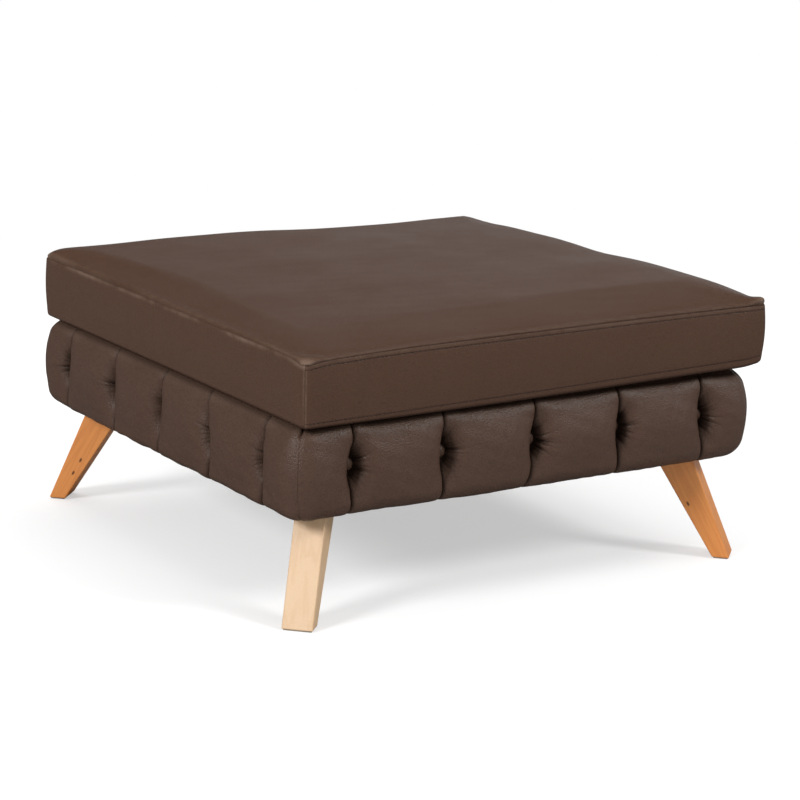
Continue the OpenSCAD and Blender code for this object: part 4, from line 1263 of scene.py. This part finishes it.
def border_moves(settled, side, shares, heights):
    """How far a border settles at its own rows. Round the zip it lies still."""
    if not settled:
        return 0.0
    field = quarter_turned(settled[SIDES[side]], -side)
    moved = settled_at(field, (shares + 1) / 2, height_share(heights))
    if side == ZIP_SIDE:
        calm_z = ramp((np.abs(heights - ZIP_Z) - ZIP_GAP_HALF) / ZIP_CALM)[:, None]
        calm_x = ramp((np.abs(shares * CUSHION_HALF) - ZIP_HALF) / ZIP_CALM)[None, :]
        moved = moved * np.maximum(calm_z, calm_x)[..., None]
    return moved


def settled_cover():
    """Lets the cushion's sewn cover settle as cloth: a closed coarse skin of its six sides,
    blown up a little and a trace too large, held along its seams. Returns how far the points
    of each side moved, as grids.
    """
    share = np.linspace(-1, 1, SETTLE_CELLS + 1)
    a, b = np.meshgrid(share, share)
    x, y = plan(a, b)
    grids = {"top": stacked(x, y, SEAM_Z + crown_height(a, b)), "bottom": stacked(x, y, CUSHION_Z)}
    heights = np.linspace(CUSHION_Z, SEAM_Z, SETTLE_LEVELS + 1)[:, None]
    wall = stacked(*plan(share, -np.ones_like(share)), heights)
    for side, name in enumerate(SIDES):
        grids[name] = quarter_turned(wall, side)
    points, faces = joined([
        (grid.reshape(-1, 3), grid_squares(*grid.shape[:2])[:, :: -1 if name == "bottom" else 1])
        for name, grid in grids.items()
    ])
    skin, back = welded(points, 5)
    mesh = bpy.data.meshes.new("settling")
    mesh.from_pydata(skin.tolist(), [], back[np.array(faces)].tolist())
    cover = placed("settling", mesh)

    off_middle = np.abs(skin[:, :2])
    corner = CUSHION_HALF - CUSHION_CORNER_R - 1 * MM
    at_seam = (off_middle.max(1) > corner) & (np.abs(skin[:, 2] - SEAM_Z) < 1 * MM)
    at_foot = skin[:, 2] < CUSHION_Z + 1 * MM
    sewn = np.flatnonzero(at_seam | at_foot | (off_middle.min(1) > corner))
    cover.vertex_groups.new(name="held").add(sewn.tolist(), 1.0, "REPLACE")
    cloth = cover.modifiers.new("cloth", "CLOTH")
    for key, value in SETTLE_VALUES.items():
        setattr(cloth.settings, key, value)
    cloth.settings.effector_weights.gravity = 0
    cloth.point_cache.frame_start = 1
    cloth.point_cache.frame_end = SETTLE_FRAMES
    scene = bpy.context.scene
    for step in range(1, SETTLE_FRAMES + 1):
        scene.frame_set(step)
    after = cover.evaluated_get(bpy.context.evaluated_depsgraph_get()).to_mesh()
    moved = coordinates(after) - skin
    length = np.linalg.norm(moved, axis=1, keepdims=True)
    moved *= np.minimum(1, SETTLE_CAP / np.maximum(length, 1e-9))
    bpy.data.objects.remove(cover)
    scene.frame_set(1)
    counts = [grid.shape[0] * grid.shape[1] for grid in grids.values()]
    spread = np.split(moved[back], np.cumsum(counts)[:-1])
    return {name: own.reshape(grids[name].shape) for name, own in zip(grids, spread)}


def between(places, count):
    """Weights that read a row of count + 1 even values at places from 0 to 1, along a smooth
    curve through them (Catmull-Rom).
    """
    at = np.clip(places, 0, 1) * count
    start = np.clip(np.floor(at).astype(int), 0, count - 1)
    t = at - start
    weights = (
        (-t + 2 * t**2 - t**3) / 2,
        (2 - 5 * t**2 + 3 * t**3) / 2,
        (t + 4 * t**2 - 3 * t**3) / 2,
        (-(t**2) + t**3) / 2,
    )
    table = np.zeros((len(places), count + 1))
    for k, weight in enumerate(weights):
        np.add.at(table, (np.arange(len(places)), np.clip(start + k - 1, 0, count)), weight)
    return table


def settled_at(field, across, up):
    """A settled grid read at the places across and up, each from 0 to 1."""
    rows, columns = field.shape[0] - 1, field.shape[1] - 1
    return np.einsum("ri,ijk,cj->rck", between(up, rows), field, between(across, columns))


def edged_shares(edge_step, middle_step, edge_w=32 * MM):
    """Shares from -1 to 1 along a side, closer together near both ends."""
    edge = np.arange(0, edge_w, edge_step)
    count = int(2 * (CUSHION_HALF - edge_w) / middle_step)
    middle = np.linspace(edge_w, 2 * CUSHION_HALF - edge_w, count + 1)
    return np.concatenate([edge, middle, 2 * CUSHION_HALF - edge[::-1]]) / CUSHION_HALF - 1


def at_cushion(points):
    """Puts points at the cushion's place, slumped as it lies. Its right front corner stands
    up and is rounder below, its left front corner is drawn down, and its front is fuller in
    the middle. Each of these falls off along a bell curve.
    """
    x, y = points[..., 0], points[..., 1]
    level = ramp(height_share(points[..., 2]))
    to_right = np.hypot(x - CUSHION_HALF, y + CUSHION_HALF)
    to_near = np.hypot(x + CUSHION_HALF, y + CUSHION_HALF)
    lift = STAND_UP[0] * bell(to_right, STAND_UP[1])
    lift = lift + ROUND_BELOW[0] * (1 - level) ** 2 * bell(to_right, ROUND_BELOW[1])
    lift = lift - DRAW_DOWN[0] * level**2 * bell(to_near, DRAW_DOWN[1])
    middle = (1 - bell(to_near, FULL_FROM[0])) * (1 - bell(to_right, FULL_FROM[1]))
    lift = lift + FRONT_FULL[0] * level * middle * bell(y + CUSHION_HALF, FRONT_FULL[1])
    return points + stacked(CUSHION_X, CUSHION_Y, lift)


def edge_wear_and_highlight(across, up, seed):
    """How far an edge is rubbed and lit by a painted highlight: long stretches with small patches in them.
    """
    long = WEAR_AND_HIGHLIGHT_LONG[0] * uneven(across, up, WEAR_AND_HIGHLIGHT_LONG[1], seed)
    patches = WEAR_AND_HIGHLIGHT_PATCH[0] * uneven(across, up, WEAR_AND_HIGHLIGHT_PATCH[1], seed + 4)
    return np.clip(WEAR_AND_HIGHLIGHT_MEAN + long + patches, *WEAR_AND_HIGHLIGHT_RANGE)


def outside_only(shares):
    """Point values for a closed sheet: the shares on its outside, and none on its inside."""
    return np.concatenate([ramp(shares).ravel(), np.zeros(shares.size)])


def add_top_panel(settled):
    """The top's leather: rubbed and with a painted highlight along its edges and at its corners, with
    painted shade down in its seam.
    """
    share = edged_shares(1.3 * MM, 5 * MM)
    a, b = np.meshgrid(share, share)
    outer = panel_surface(a, b)
    if settled:
        outer = outer + settled_at(settled["top"], (share + 1) / 2, (share + 1) / 2)
    inset = 1 - 1.5 * MM / CUSHION_HALF
    inner = outer * [inset, inset, 1] - [0, 0, PANEL_T * 0.9]
    inner[..., 2] = np.maximum(inner[..., 2], BORDER_TOP)
    from_edge = from_rim(a, b)
    side_edge = np.abs(a) > np.abs(b)
    worn_and_lit = edge_wear_and_highlight(a * CUSHION_HALF, b * CUSHION_HALF, 71)
    # Paler along the edges and at the corners: wear together with a painted highlight.
    rubbed = np.where(side_edge, 0.14, 0.1) * worn_and_lit * bell(from_edge - TOP_RUB_AND_HIGHLIGHT[0], TOP_RUB_AND_HIGHLIGHT[1])
    from_corner = np.hypot(1 - np.abs(a), 1 - np.abs(b)) * CUSHION_HALF
    rubbed = rubbed + 0.3 * bell(from_corner - CORNER_RUB_AND_HIGHLIGHT[0], CORNER_RUB_AND_HIGHLIGHT[1])
    # Painted shade down in the seam, most at the front and back.
    tucked = np.where(side_edge, 0.15, 0.7) * np.exp(-from_edge / (0.9 * MM))
    panel = make_piece(
        "cushion_crowned_top", closed_sheet(at_cushion(outer), at_cushion(inner)), "cushion leather",
        "cushion", ["cushion_top_panel"], rubbed=outside_only(rubbed), tucked=outside_only(tucked),
    )


def zip_opening(shares, inwards, heights, angles):
    """The border's columns and rows with more of them at the zip's opening, which squares are
    kept, and how far the opening's lips roll in, as quarter circles.
    """
    ends = (ZIP_HALF + LIP_STEPS) / CUSHION_HALF
    clear = np.abs(np.abs(shares) * CUSHION_HALF - ZIP_HALF) > 3 * MM
    shares = np.sort(np.concatenate([shares[clear], ends, -ends]))
    extra = np.concatenate([ZIP_Z - ZIP_GAP_HALF - LIP_STEPS, ZIP_Z + ZIP_GAP_HALF + LIP_STEPS])
    clear = np.abs(heights[:, None] - extra).min(axis=1) > 0.7 * MM
    inwards = np.concatenate([inwards[clear], BORDER_TAPER * (1 - ramp(height_share(extra)))])
    heights = np.concatenate([heights[clear], extra])
    angles = np.concatenate([angles[clear], 0 * extra])
    order = np.argsort(heights, kind="stable")
    inwards, heights, angles = inwards[order], heights[order], angles[order]
    across, up = (np.abs(way) for way in (shares * CUSHION_HALF, heights - ZIP_Z))
    middle_x = np.abs(shares[:-1] + shares[1:]) / 2 * CUSHION_HALF
    middle_z = np.abs((heights[:-1] + heights[1:]) / 2 - ZIP_Z)
    keep = (middle_z >= ZIP_GAP_HALF)[:, None] | (middle_x >= ZIP_HALF)[None, :]
    off = np.maximum((up - ZIP_GAP_HALF)[:, None], (across - ZIP_HALF)[None, :])
    lip = LIP_R * (1 - np.sqrt(ramp(1 - (1 - ramp(off / LIP_R)) ** 2)))
    return shares, inwards[:, None] + lip, heights, angles, keep


def add_borders(settled):
    """The four strips round the cushion, rubbed and with a painted highlight at the seam and at both ends.
    Shade is painted at the seam, at both ends, under the foot and in the stitching grooves.
    """
    for side, name in enumerate(SIDES):
        shares = np.linspace(-1, 1, 401)
        inwards, heights, angles = border_profile()
        keep = None
        if side == ZIP_SIDE:
            shares, inwards, heights, angles, keep = zip_opening(shares, inwards, heights, angles)
        else:
            inwards = inwards[:, None]
        outer = border_surface(settled, side, shares, inwards, heights, angles)
        a, rows = shares[None, :], heights[:, None]
        x, y = plan(a, -np.ones_like(a))
        end = corner_angle(a)
        level = np.clip(rows, CUSHION_Z + 0.2 * MM, SEAM_Z - 0.2 * MM)
        inner = stacked(x - BORDER_T * np.sin(end), y + BORDER_T * np.cos(end), level)
        from_seam, from_end = np.abs(SEAM_Z - rows), from_rim(a, 0)
        worn_and_lit = edge_wear_and_highlight(a * CUSHION_HALF, rows, 81 + side)
        # Paler at the seam and at both ends: wear together with a painted highlight.
        rubbed = SEAM_WEAR_AND_HIGHLIGHT[side] * worn_and_lit * bell(from_seam - BORDER_RUB_AND_HIGHLIGHT[0], BORDER_RUB_AND_HIGHLIGHT[1])
        rubbed = rubbed + 0.2 * worn_and_lit * bell(from_end - END_RUB_AND_HIGHLIGHT[0], END_RUB_AND_HIGHLIGHT[1])
        # Painted shade at the seam and at both ends.
        tucked = SEAM_SHADE[side] * np.exp(-from_seam / (0.8 * MM)) + 0.15 * np.exp(-from_end / (0.8 * MM))
        # Painted shade on the foot's underside.
        tucked = tucked + 0.8 * ramp(-np.sin(angles))[:, None]
        # Painted shade in the stitching grooves.
        for row in STITCH_ROWS if side in STITCHED_SIDES else ():
            tucked = tucked + 0.4 * bell(rows - row, GROOVE_W)
        outer, inner = (at_cushion(quarter_turned(grid, side)) for grid in (outer, inner))
        border = make_piece(
            f"cushion_{name}_boxing", closed_sheet(outer, inner, keep), "cushion leather", "cushion",
            [f"cushion_{name}_border"], rubbed=outside_only(rubbed), tucked=outside_only(tucked),
        )


def add_bottom_panel():
    """The cushion's underside, which hangs loose between its seams."""
    share = edged_shares(2 * MM, 8 * MM)
    a, b = np.meshgrid(share, share)
    x, y = plan(a, b)
    edge = from_rim(a, b)
    loose = 0.5 * MM * ramp(edge / (20 * MM)) * (1 + uneven(x, y, 120 * MM, 23))
    x, y = (way * (CUSHION_HALF - BORDER_FILL) / CUSHION_HALF for way in (x, y))
    outer = stacked(x, y, CUSHION_Z + loose + 1.0 * MM * np.exp(-edge / (1.5 * MM)))[::-1]
    inner = stacked(x, y, CUSHION_Z + PANEL_T + 0.2 * MM)[::-1]
    panel = make_piece(
        "cushion_under_panel", closed_sheet(at_cushion(outer), at_cushion(inner)), "cushion leather",
        "cushion", ["cushion_bottom_panel"],
    )


def stitch_shape():
    """One stitch: a thread that comes up out of its hole, lies on the leather and goes down
    again. Its middle line is an arch, and its sections are hexagons.
    """
    along = np.linspace(-0.5, 0.5, 6)[:, None] * STITCH_LENGTH
    lift = STITCH_R * (0.9 - 3.2 * (2 * along / STITCH_LENGTH) ** 6)
    girth = STITCH_R * np.array([0.75, 1, 1, 1, 1, 0.75])[:, None]
    angle = np.linspace(0, 2 * np.pi, 6, endpoint=False)[None, :]
    rings = stacked(along, girth * np.cos(angle), lift + girth * np.sin(angle))
    caps = [[0, 1, 2, 3], [0, 3, 4, 5], [35, 34, 33, 32], [35, 32, 31, 30]]
    return rings.reshape(-1, 3), np.concatenate([ring_squares(6, 6), caps])


def stitch_row(settled, side, height):
    """Copies of a stitch along a border at one height."""
    count = int(2 * (CUSHION_HALF - 8 * MM) / STITCH_PITCH)
    places = (np.arange(count) - (count - 1) / 2) * STITCH_PITCH / CUSHION_HALF
    inwards = BORDER_TAPER * (1 - (height - WALL_FOOT) / (WALL_TOP - WALL_FOOT))
    step = 0.4 * STITCH_LENGTH / CUSHION_HALF
    before, middle, after = (
        border_surface(settled, side, places + way, inwards, np.array([height]), np.zeros(1))[0]
        for way in (-step, 0, step)
    )
    along = (after - before) / np.linalg.norm(after - before, axis=1, keepdims=True)
    up = np.broadcast_to([0.0, 0.0, 1.0], along.shape)
    frames = np.stack([along, up, np.cross(along, up)], axis=1)
    points, faces = repeated(*stitch_shape(), frames, middle)
    return at_cushion(quarter_turned(points, side)), faces


def add_stitching(settled):
    """Both rows of stitches on the front and the back."""
    for side in STITCHED_SIDES:
        rows = joined([stitch_row(settled, side, height) for height in STITCH_ROWS])
        make_piece(f"cushion_{SIDES[side]}_stitching", rows, "thread", "cushion")


def add_zip():
    """The tape with its woven cords, and two rows of teeth that mesh."""
    low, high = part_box("zip_tape")
    columns = np.linspace(low.x, high.x, 221)[None, :]
    rows = np.linspace(low.z, high.z, 40)[:, None]
    cord = CORD_H * bell(np.abs(rows - ZIP_Z) - CORD_OFF, CORD_HALF)
    front = high.y - 0.1 * MM + cord + 0.05 * MM * np.sin(2 * np.pi * columns / (7 * MM))
    outer, inner = (stacked(columns, y, rows)[:, ::-1] for y in (front, low.y))
    tape = make_piece(
        "zip_woven_tape", closed_sheet(outer, inner), "zip tape", "cushion", ["zip_tape"]
    )

    length, depth, height = (chain_high[k] - chain_low[k] for k in range(3))
    count = int(length / TOOTH_PITCH)
    half_h = TOOTH_SHARE * height
    tooth = cut_block((-TOOTH_HALF, 0, -half_h), (TOOTH_HALF, depth, half_h), TOOTH_EASE)
    places = []
    for row, way in enumerate((-TOOTH_OFF, TOOTH_OFF)):
        x = chain_low.x + TOOTH_PITCH * (np.arange(count) + 0.5 + 0.5 * row)
        places.append(stacked(x, chain_low.y, ZIP_Z + way * height))
    frames = np.broadcast_to(np.eye(3), (2 * count, 3, 3))
    teeth = repeated(*tooth, frames, np.concatenate(places))
    make_piece("zip_teeth", teeth, "brass", "cushion", ["zip_chain"])


# Fillings, deck and underside

WEB_W = 50 * MM
WEB_T = 1.5 * MM
WEB_STRAPS = 6

# Where the straps from front to back leave those across, the thicker woven edge, and how far
# the threads sink in
WEB_CROSSING_IN = 39 * MM
WEB_SELVEDGE = 3 * MM
SOAKED = 0.15 * MM


def add_slab(name, body, node, radius, step=20 * MM):
    """A block of foam with rounded edges in its solid's box."""
    points, faces = rounded_box(*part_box(node), radius, step)
    if body == "cushion":
        points = at_cushion(points - [CUSHION_X, CUSHION_Y, 0])
    slab = make_piece(name, (points, faces), "foam", body, [node])


def add_rail_foams():
    """Foam strips round the frame, mitred: a section swept along each side, with x^8 + y^8 = 1
    as its rounded outline.
    """
    turn = np.radians(np.linspace(0, 360, 32, endpoint=False))
    across, up = (np.sign(way) * np.abs(way) ** 0.25 for way in (np.cos(turn), np.sin(turn)))
    half_h = (DECK_TOP - RAIL_Z) / 2
    reach = (FOAM_HALF + FRAME_HALF) / 2 + (FOAM_HALF - FRAME_HALF) / 2 * across
    sections = stacked(np.linspace(-1, 1, 41)[:, None] * reach, -reach, RAIL_Z + half_h + half_h * up)
    for side, name in enumerate(SIDES):
        shape = swept_body(quarter_turned(sections, side))
        strip = make_piece(f"{name}_foam_strip", shape, "foam", "base", [f"{name}_rail_foam"])


def add_fibre_wrap():
    """Wadding between the foam and the top panel: the panel's own crown, a hair lower."""
    low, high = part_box("cushion_fibre_wrap")
    share = edged_shares(4 * MM, 10 * MM)
    a, b = np.meshgrid(share, share)
    x, y = (way * ((high.x - low.x) / 2 / CUSHION_HALF) for way in plan(a, b))
    top = low.z + 4 * MM + (high.z - low.z - 5 * MM) * crown_share(a, b)
    top = top + 0.5 * MM * uneven(x, y, 35 * MM, 29) - 2.5 * MM * np.exp(-from_rim(a, b) / (4 * MM))
    outer, inner = (at_cushion(stacked(x, y, z)) for z in (top, low.z))
    wrap = make_piece(
        "cushion_wadding", closed_sheet(outer, inner), "fibre", "cushion", ["cushion_fibre_wrap"]
    )


def add_webbing():
    """Straps of jute webbing: thin skins along their way, thicker at the woven edges."""
    for node, lengthwise in (("webbing_across", False), ("webbing_front_to_back", True)):
        low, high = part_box(node)
        sizes = (high.x - low.x, high.y - low.y)
        reach, spread = sizes[lengthwise] / 2, sizes[not lengthwise]
        along = np.linspace(-reach, reach, 140)[None, :]
        across = np.linspace(-WEB_W / 2, WEB_W / 2, 13)[:, None]
        lift = ramp((reach - np.abs(along) - WEB_CROSSING_IN) / (10 * MM)) * WEB_T * lengthwise
        edge = SOAKED * (np.abs(across) > WEB_W / 2 - WEB_SELVEDGE)
        levels = (RAIL_TOP + WEB_T - SOAKED + lift + edge, RAIL_TOP + lift)
        straps = []
        for k in range(WEB_STRAPS):
            middle = (k - (WEB_STRAPS - 1) / 2) * (spread - WEB_W) / (WEB_STRAPS - 1)
            grids = [stacked(along, across + middle, z) for z in levels]
            straps.append(closed_sheet(*(quarter_turned(grid, int(lengthwise)) for grid in grids)))
        make_piece(f"{node}_straps", joined(straps), "webbing", "base", [node])


def add_platform_cloth():
    """The cloth under the cushion: pulled flat, with faint pulls in from its edges."""
    low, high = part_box("platform_cloth")
    x, y = np.meshgrid(np.linspace(low.x, high.x, 111), np.linspace(low.y, high.y, 111))
    edge = np.minimum(high.x - np.abs(x), high.y - np.abs(y))
    pull = 0.35 * MM * np.exp(-edge / (30 * MM)) * uneven(x, y, 35 * MM, 37)
    loose = 0.25 * MM * uneven(x, y, 140 * MM, 38)
    top = high.z + np.clip(pull + loose, -0.2 * MM, 0.6 * MM) * ramp(edge / (6 * MM))
    shape = closed_sheet(stacked(x, y, top), stacked(x, y, low.z))
    cloth = make_piece("platform_cloth_panel", shape, "platform cloth", "base", ["platform_cloth"])


def leg_axes(corner):
    """A leg's own axes as rows: out along its diagonal, across it, and up."""
    angle = math.radians(225 + 90 * corner)
    cos, sin = math.cos(angle), math.sin(angle)
    return np.array([[cos, sin, 0], [-sin, cos, 0], [0, 0, 1]])


def leg_outline(node, corner):
    """A leg's extents along its diagonal at the foot and at the top, each with its height, and
    its half thickness, from its solid.
    """
    along, across, level = (coordinates(frame["nodes"][node].data) @ leg_axes(corner).T).T
    foot, top = along[level < level.min() + 1e-5], along[level > level.max() - 1e-5]
    return (foot.min(), foot.max(), level.min()), (top.min(), top.max(), level.max()), across.max()


_, (LEG_IN_TOP, _, _), LEG_HALF_T = leg_outline("front_left_leg", 0)

# The gap round a leg in the dust cover, the strips that it is cut into, how far it sags, and
# the rails' thickness
SLOT_GAP = 1.5 * MM
DUST_STRIPS = 34
DUST_SAG = 3.0 * MM
RAIL_T = 20 * MM


def add_dust_cover():
    """Black cloth under the frame: a flat outline cut out round each leg, cut into strips both
    ways, then let down between the rails by a parabola, and given its thickness.
    """
    low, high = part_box("dust_cover")
    half = high.x
    cut_half = (LEG_HALF_T + SLOT_GAP) * math.sqrt(0.5)
    start = (LEG_IN_TOP - SLOT_GAP) * math.sqrt(0.5)
    corner = [
        (half, half - 2 * cut_half), (start + cut_half, start - cut_half),
        (start - cut_half, start + cut_half), (half - 2 * cut_half, half),
    ]
    outline = np.concatenate([quarter_turned(np.array([(x, y, 0) for x, y in corner]), k) for k in range(4)])
    shape = bmesh.new()
    shape.faces.new([shape.verts.new(point) for point in outline])
    for axis in ((1, 0, 0), (0, 1, 0)):
        for k in range(1, DUST_STRIPS):
            at = Vector(axis) * (k * (2 * half / DUST_STRIPS) - half)
            geometry = shape.verts[:] + shape.edges[:] + shape.faces[:]
            bmesh.ops.bisect_plane(shape, geom=geometry, plane_co=at, plane_no=axis, dist=1e-6)
    flat_area = sum(face.calc_area() for face in shape.faces)
    mesh = bpy.data.meshes.new("dust_cover_cloth")
    shape.to_mesh(mesh)
    shape.free()
    points = coordinates(mesh)
    x, y = points[:, 0], points[:, 1]
    bay = FRAME_HALF - RAIL_T
    across = ramp(1 - ((np.abs(x) - bay / 2) / (bay / 2)) ** 2)
    sag = DUST_SAG * across * ramp(1 - (y / bay) ** 2)
    points[:, 2] = low.z - sag + 0.3 * MM * across * uneven(x, y, 50 * MM, 43)
    mesh.vertices.foreach_set("co", points.ravel())
    mesh.materials.append(FINISHES["black cloth"][1])
    mesh.shade_smooth()
    cloth = placed("dust_cover_cloth", mesh)
    wall = cloth.modifiers.new("thickness", "SOLIDIFY")
    wall.thickness = high.z - low.z
    wall.offset = 1.0
    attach(cloth, "base")
    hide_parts("dust_cover")


# Legs


# How ruddy each board is, from pale to reddish, and how far its edges are eased. The front leg's pale board
# is partly a painted reflection: it stands in for the sheen of its lacquer.
LEG_RUDDY = (0.05, 0.95, 0.8, 0.95)
LEG_EASE = 1.6 * MM


def add_legs():
    """Tapered boards. Each one's grain runs along it, from its own place in the timber."""
    for corner, name in enumerate(CORNERS):
        (foot_in, foot_out, low), (top_in, top_out, high), half_t = leg_outline(f"{name}_leg", corner)
        outline = [(foot_in, low), (foot_out, low), (top_out, high), (top_in, high)]
        own = np.array([(r, t, z) for t in (-half_t, half_t) for r, z in outline])
        faces = [[0, 1, 2, 3], [7, 6, 5, 4], [0, 4, 5, 1], [1, 5, 6, 2], [2, 6, 7, 3], [3, 7, 4, 0]]
        lean = np.array([(top_in + top_out - foot_in - foot_out) / 2, high - low])
        lean /= np.linalg.norm(lean)
        radius, through, level = own.T
        grain = stacked(
            radius * lean[0] + level * lean[1] + 0.7 * corner, radius * lean[1] - level * lean[0],
            through + 0.13 * corner,
        )
        leg = make_piece(
            f"{name}_beech_leg", (own @ leg_axes(corner), faces), "beech", "base", [f"{name}_leg"],
            sharp=30.0, grain=grain, ruddy=np.full(len(own), LEG_RUDDY[corner]),
        )
        ease = leg.modifiers.new("eased_edges", "BEVEL")
        ease.width = LEG_EASE
        ease.segments = 3
        ease.limit_method = "ANGLE"


def add_foot_pads():
    """Felt pads, pressed a little rounder at their edges, turned to their legs."""
    for corner, name in enumerate(CORNERS):
        node = f"{name}_foot_pad"
        axes = leg_axes(corner)
        own = coordinates(frame["nodes"][node].data) @ axes.T
        points, faces = rounded_box(own.min(0), own.max(0), 0.7 * MM, 2.5 * MM)
        pad = make_piece(f"{name}_felt_pad", (points @ axes, faces), "felt", "base", [node])


def dress_frame_nodes():
    """Gives every solid that stays its own finish."""
    named = {"steel": "steel", "timber": "timber", "twine": "twine", "zip_brass": "brass"}
    for part in frame["record"]["subparts"]:
        if part["material_slot"] in named:
            for holder in frame["nodes"][part["node"]].material_slots:
                holder.material = FINISHES[named[part["material_slot"]]][1]


add_camera()
add_floor()
add_world()
add_lamps()
add_covers()
add_buttons()
settled = settled_cover()
add_top_panel(settled)
add_borders(settled)
add_bottom_panel()
add_stitching(settled)
add_zip()
add_slab("deck_foam_slab", "base", "deck_foam", 3 * MM)
add_slab("cushion_foam_block", "cushion", "cushion_foam", 6 * MM)
add_rail_foams()
add_fibre_wrap()
add_webbing()
add_platform_cloth()
add_dust_cover()
add_legs()
add_foot_pads()
dress_frame_nodes()

view = bpy.context.scene.view_settings
view.view_transform = "Standard"
